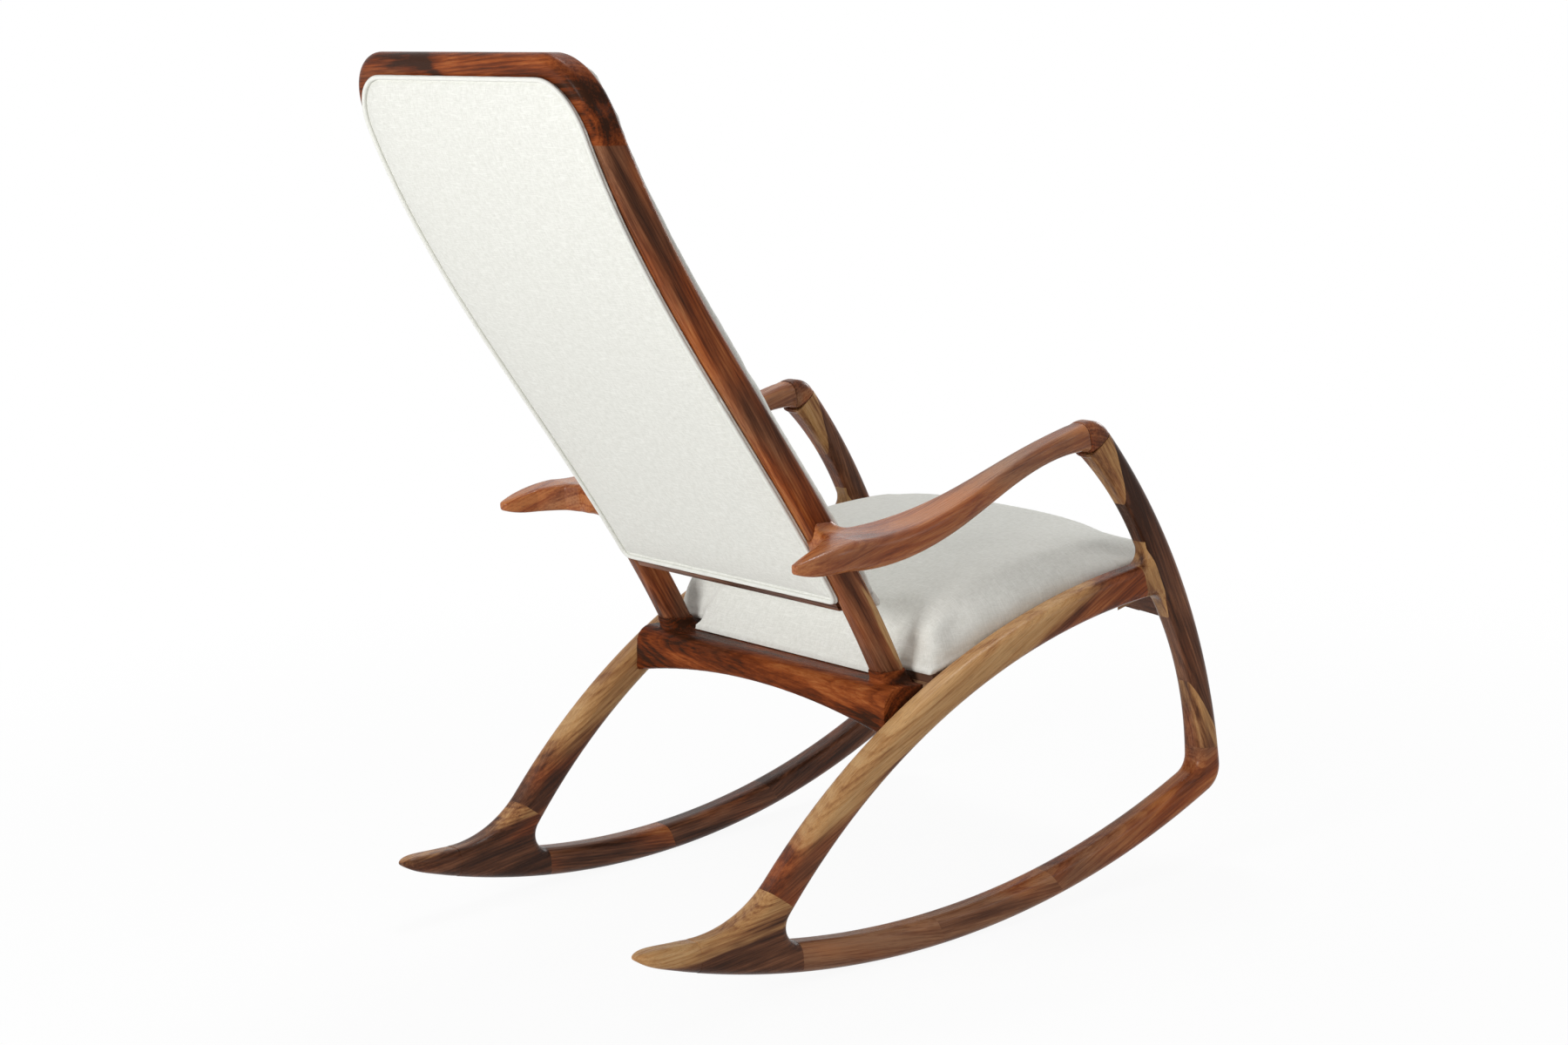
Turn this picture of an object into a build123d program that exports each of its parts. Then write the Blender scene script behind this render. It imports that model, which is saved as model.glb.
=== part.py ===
from build123d import *
from math import atan2, cos, degrees, hypot, radians, sin, sqrt, tan
import os

# High-back upholstered rocking chair in sculpted solid wood. Millimetres.
#
# The chair is drawn in side elevation, Y back and Z up, with its rockers rolled to the mark
# where Y = 0, and is then turned about the rockers' centre to the attitude in which it comes
# to rest. Right and left are the sitter's: the right side is at -X, the front is at -Y.
# Points of the side elevation are (y, z), points of the front elevation (x, z).

# ---- rockers and side frames ------------------------------------------------------------
ROCKER_RADIUS = 1130.0        # curve of the rockers' running edge
ROCKER_DEPTH = 38.0           # height of a rocker
FRAME_THICKNESS = 40.0        # side frame, across the chair
FRAME_ROUNDING = 13.0         # rounding of the side frames' long edges
FRAME_HALF_WIDTH = 284.0      # mid-plane of a side frame from the chair's, where Y = 0
FRAME_SPLAY = 3.15            # degrees, each side frame opens towards the front
REST_TILT = 3.66              # degrees from the drawing to the balanced chair
REST_SHIFT = 43.25            # of the balanced chair along Y, centres its depth

# Bowed edges of a side frame: each bows to the left of the way between two of its points.
LEG_FRONT_EDGE = ((-565.2, 180.0), (-358.4, 640.0))    # front edge of the front leg
LEG_FRONT_RADIUS = 883.0
LEG_REAR_EDGE = ((-524.2, 210.0), (-474.6, 380.0))     # its rear edge below the seat
LEG_REAR_RADIUS = 455.0
LEG_NECK_EDGE = ((-417.8, 500.0), (-337.6, 600.0))     # its rear edge between seat and arm
LEG_NECK_RADIUS = 430.0
ARCH_EDGE = ((-430.0, 412.1), (145.5, 60.0))           # underside of side rail and rear leg
ARCH_RADIUS = 845.0
ARCH_TOP_EDGE = ((-410.0, 452.7), (192.5, 69.0))       # their upper edge
ARCH_TOP_RADIUS = 927.0

TOE_RADIUS = 38.0             # front corner of leg and rocker, outside
TOE_COVE = 24.0               # and inside
CROTCH_COVE = 23.0            # between rear leg and rocker
SEAT_COVE = 24.0              # under the side rail, at the front leg
NECK_COVE = 16.0              # over the side rail, at the front leg
TAIL_COVE = 150.0             # sweep from the rear leg into the tail
TAIL_TOP = 69.0               # height of the tail's back
TAIL_ROOT = 262.0             # where the tail starts to taper
TAIL_TIP = 345.0

KNUCKLE_TOP = (-322.0, 646.0)          # upper end of the joint of knuckle and arm
KNUCKLE_BOTTOM = (-332.0, 605.0)
KNUCKLE_ROUNDING = 34.0
KNUCKLE_COVE = 14.0
ARM_PITCH = 15.5              # degrees, fall of the knuckle's top to the rear

# Glued joints of a side frame, each a line across the member: (inner end, outer end).
# The places of the first five give heights over the rockers' running edge.
TAIL_LEG_PLACE = ((112.0, 74.5), (180.0, 113.5))
TAIL_ROCKER_PLACE = ((118.0, 54.0), (112.0, -15.5))
REAR_SPLICE_PLACE = ((-87.0, 42.5), (-113.0, -19.5))
FRONT_SPLICE_PLACE = ((-266.0, 46.0), (-312.0, -22.0))
TOE_PLACE = ((-500.0, 86.5), (-590.0, 31.5))
RAIL_JOINT = ((-434.0, 396.0), (-413.0, 478.0))
KNUCKLE_JOINT = ((-322.0, 598.0), (-376.0, 644.0))
# Glue lines of the three blocks that thicken the front leg, upper end first.
TOP_BLOCK_LINE = ((-361.0, 636.0), (-398.0, 524.0))
RAIL_BLOCK_LINE = ((-427.0, 486.0), (-475.0, 379.0))
FOOT_BLOCK_LINE = ((-504.0, 300.0), (-572.0, 194.0))

# ---- arms ------------------------------------------------------------------------------
# Stations of an arm from the knuckle to its tail:
# (y, distance from the mid-plane, height, width, thickness).
ARM_STATIONS = (
    (-340.0, 302.0, 630.0, 40.0, 42.0),
    (-285.0, 303.0, 622.0, 38.0, 28.0),
    (-220.0, 303.0, 601.5, 39.0, 26.0),
    (-120.0, 305.0, 560.5, 58.0, 30.0),
    (-20.0, 295.0, 527.0, 88.0, 36.0),
    (60.0, 286.5, 519.0, 102.0, 38.0),
)
ARM_TAIL_STATIONS = (
    (60.0, 286.5, 519.0, 102.0, 38.0),
    (100.0, 301.5, 515.0, 71.0, 31.0),
    (127.0, 309.5, 511.0, 44.0, 23.0),
    (147.0, 315.0, 509.5, 16.0, 11.0),
)
ARM_SQUARENESS = 0.35         # corner radius of an arm's section, as a share of its thickness

# ---- back ------------------------------------------------------------------------------
# Rear face of the back in side elevation, from below the rear seat rail's top to the crest.
BACK_LINE = ((-68.0, 313.0), (19.0, 466.0), (131.0, 628.0), (245.0, 787.0),
             (334.5, 930.0), (389.0, 1045.0), (420.0, 1138.0))
STILE_DEPTH = 38.0            # front to back
STILE_WIDTH = 29.0            # across
STILE_ROUNDING = 10.0
BACK_TOP = 1112.0             # top of the crest
BACK_CORNER = 78.0
CREST_HEIGHT = 40.0           # of the crest rail
# Outer edge of a stile in front elevation: foot, middle and top.
STILE_EDGE = ((239.0, 315.0), (249.5, 652.0), (255.5, 990.0))
CREST_JOINT = 1008.0          # height of the joints of stiles and crest rail
BACK_RAIL_LOW = 428.0         # bottom rail of the back
BACK_RAIL_HEIGHT = 38.0
PANEL_REVEAL = 12.0           # stile left bare beside the rear panel
PANEL_TOP = 1085.5
PANEL_BOTTOM = 434.0
PANEL_THICKNESS = 9.0
PANEL_CORNER = 66.0
PANEL_LOW_CORNER = 12.0
WELT_INSET = 3.0
WELT_WIDTH = 4.0
WELT_RISE = 1.5
PAD_REVEAL = 9.0              # outline of the back left bare around the front pad
PAD_BOTTOM = 424.0
PAD_THICKNESS = 8.0           # at its sides
PAD_CROWN = 22.0              # more at the mid-plane
PAD_ROUNDING = 5.0
BOARD_THICKNESS = 12.0        # plywood of back and seat
BOARD_CLEARANCE = 0.5
BOARD_SETBACK = 8.0           # back board, in front of the stiles' rear faces
GROOVE_DEPTH = 8.0            # of the grooves that hold the back board

# ---- seat ------------------------------------------------------------------------------
REAR_RAIL_FACE = -34.0        # rear face of the rear seat rail
REAR_RAIL_DEPTH = 62.0
REAR_RAIL_TOP = 334.0
REAR_RAIL_LOW = 270.5         # lower edge at its ends
REAR_RAIL_ARCH = 28.0         # rise of the lower edge at mid-span
REAR_RAIL_SHOULDER = 24.0     # rounding of its upper rear edge
RAIL_EASING = 6.0             # rounding of the other edges of the seat rails
POMMEL_HEIGHT = 12.0          # swelling of the rear rail under each stile
POMMEL_MARGIN = 8.0
FRONT_RAIL_FOOT = (-501.0, 379.0)      # middle of the front seat rail's lower edge
FRONT_RAIL_LEAN = 23.0        # degrees, it leans to the rear like the front legs
FRONT_RAIL_HEIGHT = 71.0
FRONT_RAIL_THICKNESS = 24.0
FRONT_RAIL_ARCH = 10.0
SEAT_REAR = (-82.0, 334.3)    # underside of the cushion at its rear and front edges
SEAT_FRONT = (-490.0, 451.0)
CUSHION_REAR_HEIGHT = 64.0
CUSHION_FRONT_HEIGHT = 46.0
CUSHION_CROWN = 16.0          # rise of its top over the line between its edges
CUSHION_GAP = 1.0             # between cushion and side frames
CUSHION_ROUNDING = 16.0
CUSHION_REAR_CORNER = 26.0    # rounding of its profile
CUSHION_FRONT_CORNER = 20.0
CUSHION_NOTCH = (196.0, -106.0)        # clear of the stiles: (from the mid-plane, y)
BOARD_REAR = -110.0           # seat board, between the seat rails
BOARD_FRONT = -452.0
CORNER_BLOCK = 62.0           # legs of the triangular blocks under the seat board
CORNER_BLOCK_HEIGHT = 28.0

# ---- joinery and hardware --------------------------------------------------------------
TENON_WIDTH = 22.0            # loose tenons with rounded edges
TENON_THICKNESS = 8.0
TENON_LENGTH = 44.0
DOWEL_RADIUS = 5.0
DOWEL_LENGTH = 50.0           # seat rails
ARM_DOWEL_LENGTH = 40.0
HOLE_CLEARANCE = 0.1
SEAT_DOWEL_SPACING = 26.0     # of the pair at each end of a seat rail
ARM_DOWELS = (24.0, 43.0)     # places of the two dowels of arm and stile
REAR_DOWELS = (-66.0, 300.0)  # middle of the pair in the rear seat rail
REAR_DOWEL_SLOPE = -40.0      # degrees, fall of the pair to the rear
FRONT_DOWELS = (-487.0, 413.0)         # and in the front seat rail
FRONT_DOWEL_SLOPE = 67.0
BACK_RAIL_TENON = 15.0        # height of the tenons over the bottom rail's lower face
SCREW_RADIUS = 2.0
SCREW_LENGTH = 36.0
SCREW_HEAD_RADIUS = 4.2
SCREW_HEAD_HEIGHT = 2.6

SIDES = {"right": -1, "left": 1}
ROCKER_CENTRE = (0.0, ROCKER_RADIUS)
ROCKER_TOP_RADIUS = ROCKER_RADIUS - ROCKER_DEPTH
FRAME_EYE = (-200.0, 200.0)   # a point in the opening of a side frame
FAR = 2000.0


# ---- drawing helpers -------------------------------------------------------------------
def on_circle(centre, radius, angle):
    """The point at an angle in degrees on a circle."""
    return (centre[0] + radius * cos(radians(angle)), centre[1] + radius * sin(radians(angle)))


def below_centre(centre, radius, y):
    """Height of the lower half of a circle over a place."""
    return centre[1] - sqrt(radius ** 2 - (y - centre[0]) ** 2)


def before_centre(centre, radius, z):
    """Place of the front half of a circle at a height."""
    return centre[0] - sqrt(radius ** 2 - (z - centre[1]) ** 2)


def meet(centre_a, radius_a, centre_b, radius_b, near):
    """Where two circles cross, the crossing closest to a point."""
    gap = hypot(centre_b[0] - centre_a[0], centre_b[1] - centre_a[1])
    along = (radius_a ** 2 - radius_b ** 2 + gap ** 2) / (2 * gap)
    across = sqrt(radius_a ** 2 - along ** 2)
    ux = (centre_b[0] - centre_a[0]) / gap
    uy = (centre_b[1] - centre_a[1]) / gap
    crossings = []
    for sign in (-1, 1):
        x = centre_a[0] + along * ux - sign * across * uy
        y = centre_a[1] + along * uy + sign * across * ux
        crossings.append((x, y))
    return min(crossings, key=lambda p: hypot(p[0] - near[0], p[1] - near[1]))


def bow_centre(edge, radius):
    """Centre of an edge that bows to the left of the way between two of its points."""
    (ay, az), (by, bz) = edge
    span = hypot(by - ay, bz - az)
    back = sqrt(radius ** 2 - span ** 2 / 4)
    return ((ay + by) / 2 + back * (bz - az) / span, (az + bz) / 2 - back * (by - ay) / span)


def over_rocker(place):
    """The points of a joint from their heights over the rockers' running edge."""
    return tuple((y, below_centre(ROCKER_CENTRE, ROCKER_RADIUS, y) + rise) for y, rise in place)


def arc_between(centre, radius, start, end):
    """The shorter arc of a circle between two of its points."""
    first = degrees(atan2(start[1] - centre[1], start[0] - centre[0]))
    last = degrees(atan2(end[1] - centre[1], end[0] - centre[0]))
    turn = (last - first + 180) % 360 - 180
    return ThreePointArc(start, on_circle(centre, radius, first + turn / 2), end)


def flat(*edges):
    """The face inside a closed run of edges."""
    return make_face(Wire(list(edges)))


def polygon(*points):
    """The face inside a closed run of straight lines."""
    return make_face(Polyline(*points, close=True))


def round_corner(face, point, radius):
    """The face with its corner nearest to a point rounded."""
    corner = min(face.vertices(), key=lambda v: hypot(v.X - point[0], v.Y - point[1]))
    return fillet(corner, radius)


def thick_side(face, width):
    """A side elevation made solid, equally to both sides of the mid-plane."""
    return extrude(Plane.YZ * face, width / 2, both=True)


def thick_front(face):
    """A front elevation made solid from far in front to far behind."""
    return extrude(Plane.XZ * face, FAR, both=True)


def thick_plan(face):
    """A plan made solid from far below to far above."""
    return extrude(face, FAR, both=True)


def one(shape):
    """The one solid of a shape, the largest where a cut left crumbs."""
    return max(shape.solids(), key=lambda solid: solid.volume)


def behind(line, down_to=None):
    """A region behind a line of the side elevation that rises a little past its ends."""
    (ay, az), (by, bz) = line
    past = 0.4
    low = (ay - past * (by - ay), az - past * (bz - az))
    high = (by + past * (by - ay), bz + past * (bz - az))
    base = low[1] if down_to is None else down_to
    return thick_side(polygon(low, high, (FAR, high[1]), (FAR, base), (low[0] + 1, base)), FAR)


def mirrored(solid, side):
    """A solid of the right side (-X), or its twin on the left side."""
    return solid if side < 0 else one(mirror(solid, about=Plane.YZ))


# ---- side frames -----------------------------------------------------------------------
LEG_FRONT_CENTRE = bow_centre(LEG_FRONT_EDGE, LEG_FRONT_RADIUS)
LEG_REAR_CENTRE = bow_centre(LEG_REAR_EDGE, LEG_REAR_RADIUS)
LEG_NECK_CENTRE = bow_centre(LEG_NECK_EDGE, LEG_NECK_RADIUS)
ARCH_CENTRE = bow_centre(ARCH_EDGE, ARCH_RADIUS)
ARCH_TOP_CENTRE = bow_centre(ARCH_TOP_EDGE, ARCH_TOP_RADIUS)
TAIL_LEG_JOINT = over_rocker(TAIL_LEG_PLACE)
TAIL_ROCKER_JOINT = over_rocker(TAIL_ROCKER_PLACE)
REAR_SPLICE = over_rocker(REAR_SPLICE_PLACE)
FRONT_SPLICE = over_rocker(FRONT_SPLICE_PLACE)
TOE_JOINT = over_rocker(TOE_PLACE)


def frame_outline():
    """Outer contour of a side frame, from its tail round to the stub behind the knuckle."""
    stub = 30.0
    fall = tan(radians(ARM_PITCH))
    stub_top = (KNUCKLE_TOP[0] + stub, KNUCKLE_TOP[1] - stub * fall)
    stub_low = (KNUCKLE_BOTTOM[0] + stub, KNUCKLE_BOTTOM[1] - stub * fall)
    toe = meet(ROCKER_CENTRE, ROCKER_RADIUS, LEG_FRONT_CENTRE, LEG_FRONT_RADIUS, TOE_JOINT[1])
    neck = meet(LEG_NECK_CENTRE, LEG_NECK_RADIUS, ARCH_TOP_CENTRE, ARCH_TOP_RADIUS, RAIL_JOINT[1])
    apex_z = KNUCKLE_TOP[1] + fall * KNUCKLE_ROUNDING
    apex = (before_centre(LEG_FRONT_CENTRE, LEG_FRONT_RADIUS, apex_z), apex_z)
    throat_z = KNUCKLE_BOTTOM[1]
    throat = (before_centre(LEG_NECK_CENTRE, LEG_NECK_RADIUS, throat_z), throat_z)
    heel_y = ARCH_TOP_CENTRE[0] + sqrt(ARCH_TOP_RADIUS ** 2 - (TAIL_TOP - ARCH_TOP_CENTRE[1]) ** 2)
    heel = (heel_y, TAIL_TOP)
    tail_y = TAIL_ROOT + stub
    tail_top = (tail_y, TAIL_TOP)
    tail_low = (tail_y, below_centre(ROCKER_CENTRE, ROCKER_RADIUS, tail_y))
    outline = flat(
        arc_between(ROCKER_CENTRE, ROCKER_RADIUS, tail_low, toe),
        arc_between(LEG_FRONT_CENTRE, LEG_FRONT_RADIUS, toe, apex),
        Line(apex, stub_top),
        Line(stub_top, stub_low),
        Line(stub_low, throat),
        arc_between(LEG_NECK_CENTRE, LEG_NECK_RADIUS, throat, neck),
        arc_between(ARCH_TOP_CENTRE, ARCH_TOP_RADIUS, neck, heel),
        Line(heel, tail_top),
        Line(tail_top, tail_low),
    )
    outline = round_corner(outline, toe, TOE_RADIUS)
    outline = round_corner(outline, apex, KNUCKLE_ROUNDING)
    outline = round_corner(outline, throat, KNUCKLE_COVE)
    outline = round_corner(outline, neck, NECK_COVE)
    return round_corner(outline, heel, TAIL_COVE)


def frame_opening():
    """The opening between rocker, front leg and the arch of side rail and rear leg."""
    crotch = meet(ROCKER_CENTRE, ROCKER_TOP_RADIUS, ARCH_CENTRE, ARCH_RADIUS, TAIL_LEG_JOINT[0])
    toe = meet(ROCKER_CENTRE, ROCKER_TOP_RADIUS, LEG_REAR_CENTRE, LEG_REAR_RADIUS, TOE_JOINT[0])
    knee = meet(LEG_REAR_CENTRE, LEG_REAR_RADIUS, ARCH_CENTRE, ARCH_RADIUS, RAIL_JOINT[0])
    opening = flat(
        arc_between(ROCKER_CENTRE, ROCKER_TOP_RADIUS, crotch, toe),
        arc_between(LEG_REAR_CENTRE, LEG_REAR_RADIUS, toe, knee),
        arc_between(ARCH_CENTRE, ARCH_RADIUS, knee, crotch),
    )
    opening = round_corner(opening, crotch, CROTCH_COVE)
    opening = round_corner(opening, toe, TOE_COVE)
    return round_corner(opening, knee, SEAT_COVE)


def is_long_edge(edge):
    """Whether an edge belongs to a side face's contour and not to one of its square ends."""
    on_face = abs(abs(edge.center().X) - FRAME_THICKNESS / 2) < 0.01
    straight_down = edge.geom_type == GeomType.LINE and abs(edge.tangent_at(0.5).Z) > 0.9
    return on_face and not straight_down


def side_frame():
    """A side frame in one piece on the mid-plane, up to its knuckle and its tail's root."""
    frame = one(thick_side(frame_outline() - frame_opening(), FRAME_THICKNESS))
    frame = one(fillet(frame.edges().filter_by(is_long_edge), FRAME_ROUNDING))
    tail_cut = thick_side(polygon((TAIL_ROOT, -FAR), (FAR, -FAR), (FAR, FAR), (TAIL_ROOT, FAR)), FAR)
    knuckle_cut = behind((KNUCKLE_BOTTOM, KNUCKLE_TOP))
    return one(one(frame - tail_cut) - knuckle_cut)


def tail_taper():
    """The tail behind its root: upright sections that shrink to a rounded tip."""
    stations = ((-0.03, 0.98, 0.97), (0.3, 0.97, 0.99), (0.62, 0.87, 0.97), (0.87, 0.62, 0.8),
                (1.0, 0.24, 0.3))
    sections = []
    for share, width_share, height_share in stations:
        y = TAIL_ROOT + share * (TAIL_TIP - TAIL_ROOT)
        low = below_centre(ROCKER_CENTRE, ROCKER_RADIUS, y)
        rise = (TAIL_TOP - low) * height_share
        width = FRAME_THICKNESS * width_share
        rounding = min(FRAME_ROUNDING, 0.42 * rise, 0.42 * width)
        middle = low + (TAIL_TOP - low) / 2
        plane = Plane(origin=(0, y, middle), x_dir=(1, 0, 0), z_dir=(0, 1, 0))
        sections.append(plane * RectangleRounded(width, rise, rounding))
    return one(loft(sections))


def between(joint_a, joint_b, *guards):
    """Region of the side elevation between two joints, with guard points outside the frame."""
    outline = (FRAME_EYE, *joint_a, *guards, *reversed(joint_b))
    return thick_side(polygon(*outline), FAR)


def side_frame_pieces():
    """The pieces of a side frame on the mid-plane, by name."""
    frame = side_frame()
    tail = one(frame & between(TAIL_ROCKER_JOINT, TAIL_LEG_JOINT, (500, -100), (500, 300)))
    leg_region = polygon(FRAME_EYE, *TOE_JOINT, (-700, 400), (-480, 740), *reversed(KNUCKLE_JOINT),
                         RAIL_JOINT[1], RAIL_JOINT[0])
    leg = one(frame & thick_side(leg_region, FAR))
    top_block = polygon(*TOP_BLOCK_LINE, (-300, 524), (-300, 640))
    rail_block = polygon(*RAIL_BLOCK_LINE, (-430, 366), *RAIL_JOINT)
    foot_block = polygon(*FOOT_BLOCK_LINE, (-470, 194), (-470, 300))
    blocks = {
        "leg_top_block": one(leg & thick_side(top_block, FAR)),
        "leg_rail_block": one(leg & thick_side(rail_block, FAR)),
        "leg_foot_block": one(leg & thick_side(foot_block, FAR)),
    }
    for block in (top_block, rail_block, foot_block):
        leg = one(leg - thick_side(block, FAR))
    knuckle_region = polygon(*KNUCKLE_JOINT, (-420, 740), (-240, 740), (-240, 590))
    return {
        "rocker_tail": one(tail + tail_taper()),
        "rocker_rear": one(frame & between(TAIL_ROCKER_JOINT, REAR_SPLICE, (0, -150))),
        "rocker_middle": one(frame & between(REAR_SPLICE, FRONT_SPLICE, (-250, -150))),
        "rocker_front": one(frame & between(FRONT_SPLICE, TOE_JOINT, (-600, -50))),
        "front_leg": leg,
        **blocks,
        "side_rail": one(frame & between(RAIL_JOINT, TAIL_LEG_JOINT, (-150, 560))),
        "knuckle": one(frame & thick_side(knuckle_region, FAR)),
    }


def frame_place():
    """Where the right side frame stands in the drawing."""
    return Pos(-FRAME_HALF_WIDTH, 0, 0) * Rot(0, 0, -FRAME_SPLAY)


# ---- arms ------------------------------------------------------------------------------
def arm_loft(stations):
    """A loft through stations of an arm, square to its run at each of them."""
    sections = []
    last = len(stations) - 1
    for index, (y, out, z, width, thick) in enumerate(stations):
        before = stations[max(index - 1, 0)]
        after = stations[min(index + 1, last)]
        run = Vector(0, after[0] - before[0], after[2] - before[2])
        plane = Plane(origin=(-out, y, z), x_dir=(1, 0, 0), z_dir=run)
        rounding = ARM_SQUARENESS * min(thick, width)
        sections.append(plane * RectangleRounded(width, thick, rounding))
    return one(loft(sections))


def right_arm():
    """An arm: a paddle, narrow at the knuckle, that ends in a tail behind the stile."""
    arm = one(arm_loft(ARM_STATIONS) + arm_loft(ARM_TAIL_STATIONS))
    return one(arm & (frame_place() * behind((KNUCKLE_BOTTOM, KNUCKLE_TOP), down_to=0)))


# ---- back ------------------------------------------------------------------------------
BACK_CURVE = Spline(*BACK_LINE)


def at_height(edge, height):
    """The point of a rising edge at a height, and the direction of the edge there."""
    low, high = 0.0, 1.0
    for _ in range(40):
        share = (low + high) / 2
        if (edge @ share).Y < height:
            low = share
        else:
            high = share
    return edge @ share, edge % share


def back_offset(depth):
    """The back's line moved to the front by a depth."""
    points = []
    for index in range(len(BACK_LINE)):
        share = index / (len(BACK_LINE) - 1)
        point = BACK_CURVE @ share
        run = BACK_CURVE % share
        points.append((point.X - run.Y * depth, point.Y + run.X * depth))
    return Spline(*points)


def back_layer(rear, front):
    """A layer of the back between two depths, from side to side."""
    low = back_offset(rear)
    high = back_offset(front)
    face = flat(low, Line(low @ 1, high @ 1), high, Line(high @ 0, low @ 0))
    return one(thick_side(face, FAR))


def back_outline(inset, top, bottom, corner=0.0, low_corner=0.0):
    """The back in front elevation, its sides moved inwards from the stiles' outer edges."""
    right, left = [ThreePointArc(*[(side * (x - inset), z) for x, z in STILE_EDGE])
                   for side in SIDES.values()]
    up = Vector(0, FAR)
    face = flat(left, Line(left @ 1, (left @ 1) + up), Line((left @ 1) + up, (right @ 1) + up),
                Line((right @ 1) + up, right @ 1), right, Line(right @ 0, left @ 0))
    face = (face & Pos(0, (top + bottom) / 2) * Rectangle(FAR, top - bottom)).face()
    for side in SIDES.values():
        if corner:
            face = round_corner(face, (side * (STILE_EDGE[2][0] - inset), top), corner)
        if low_corner:
            face = round_corner(face, (side * (STILE_EDGE[0][0] - inset), bottom), low_corner)
    return face


def back_solid(rear, front, outline):
    """A layer of the back with an outline drawn in front elevation."""
    return one(back_layer(rear, front) & thick_front(outline))


def crowned_layer():
    """The layer in front of the frame, thickest at the mid-plane."""
    sections = []
    for x, rise in ((-STILE_EDGE[2][0], 0), (0, PAD_CROWN), (STILE_EDGE[2][0], 0)):
        low = back_offset(STILE_DEPTH)
        high = back_offset(STILE_DEPTH + PAD_THICKNESS + rise)
        face = flat(low, Line(low @ 1, high @ 1), high, Line(high @ 0, low @ 0))
        sections.append(Plane(origin=(x, 0, 0), x_dir=(0, 1, 0), z_dir=(1, 0, 0)) * face)
    return one(loft(sections))


def back_pieces():
    """Stiles, crest and bottom rail, board, rear panel with its welt, and front pad."""
    foot = REAR_RAIL_TOP + POMMEL_HEIGHT
    outer = back_outline(0, BACK_TOP, foot, BACK_CORNER)
    crest_low = BACK_TOP - CREST_HEIGHT
    inner = back_outline(STILE_WIDTH, crest_low, foot - 1, BACK_CORNER - STILE_WIDTH)
    body = back_solid(0, STILE_DEPTH, outer - inner)
    long_edges = [edge for edge in body.edges() if edge.length > STILE_DEPTH + STILE_ROUNDING * 2]
    body = one(fillet(long_edges, STILE_ROUNDING))

    rail_top = BACK_RAIL_LOW + BACK_RAIL_HEIGHT
    rail = back_solid(0, STILE_DEPTH, back_outline(STILE_WIDTH, rail_top, BACK_RAIL_LOW))
    board_front = BOARD_SETBACK + BOARD_THICKNESS
    groove_inset = STILE_WIDTH - GROOVE_DEPTH
    board_inset = groove_inset + BOARD_CLEARANCE
    groove = back_solid(BOARD_SETBACK, board_front, back_outline(
        groove_inset, crest_low + GROOVE_DEPTH, rail_top - GROOVE_DEPTH, BACK_CORNER - groove_inset))
    board = back_solid(BOARD_SETBACK, board_front, back_outline(
        board_inset, crest_low + GROOVE_DEPTH - BOARD_CLEARANCE,
        rail_top - GROOVE_DEPTH + BOARD_CLEARANCE, BACK_CORNER - board_inset))
    body = one(body - groove)
    rail = one(rail - groove)

    upper = Pos(0, 0, CREST_JOINT + FAR / 2) * Box(FAR, FAR, FAR)
    stiles = (body - upper).solids().sort_by(Axis.X)

    panel = back_solid(-PANEL_THICKNESS, 0, back_outline(
        PANEL_REVEAL, PANEL_TOP, PANEL_BOTTOM, PANEL_CORNER, PANEL_LOW_CORNER))
    rings = []
    for inset in (WELT_INSET, WELT_INSET + WELT_WIDTH):
        rings.append(back_outline(PANEL_REVEAL + inset, PANEL_TOP - inset, PANEL_BOTTOM + inset,
                                  PANEL_CORNER - inset, PANEL_LOW_CORNER - inset))
    welt = back_solid(-PANEL_THICKNESS - WELT_RISE, -PANEL_THICKNESS, rings[0] - rings[1])

    pad = one(crowned_layer() & thick_front(back_outline(
        PAD_REVEAL, BACK_TOP - PAD_REVEAL, PAD_BOTTOM, BACK_CORNER - PAD_REVEAL)))
    front_face = max(pad.faces().sort_by(SortBy.AREA)[-2:], key=face_forwardness)
    pad = one(fillet(front_face.edges(), PAD_ROUNDING))
    fill_inset = STILE_WIDTH + BOARD_CLEARANCE
    fill = back_solid(board_front, STILE_DEPTH, back_outline(
        fill_inset, crest_low - BOARD_CLEARANCE, rail_top + BOARD_CLEARANCE, BACK_CORNER - fill_inset))
    return {
        "right_stile": stiles[0],
        "left_stile": stiles[-1],
        "crest_rail": one(body & upper),
        "back_bottom_rail": rail,
        "back_board": board,
        "back_panel": panel,
        "back_panel_welt": welt,
        "back_pad": one(pad + fill),
    }


def face_forwardness(face):
    """How far a face looks to the front."""
    return -face.center().Y


# ---- seat ------------------------------------------------------------------------------
SEAT_PITCH = atan2(SEAT_FRONT[1] - SEAT_REAR[1], SEAT_REAR[0] - SEAT_FRONT[0])


def inner_half(y, gap=0.0):
    """Half the clear width between the side frames at a place, less a gap."""
    splay = radians(FRAME_SPLAY)
    return FRAME_HALF_WIDTH - y * tan(splay) - FRAME_THICKNESS / 2 / cos(splay) - gap


def plan_between(front, rear, gap=0.0):
    """Plan of the space between the side frames, from front to rear."""
    return polygon((-inner_half(front, gap), front), (inner_half(front, gap), front),
                   (inner_half(rear, gap), rear), (-inner_half(rear, gap), rear))


def seat_point(share, rise):
    """A point over the cushion's underside: a share from its rear to its front, and a rise."""
    y = SEAT_REAR[0] + share * (SEAT_FRONT[0] - SEAT_REAR[0])
    z = SEAT_REAR[1] + share * (SEAT_FRONT[1] - SEAT_REAR[1])
    return (y + rise * sin(SEAT_PITCH) * -1, z + rise * cos(SEAT_PITCH))


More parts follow.
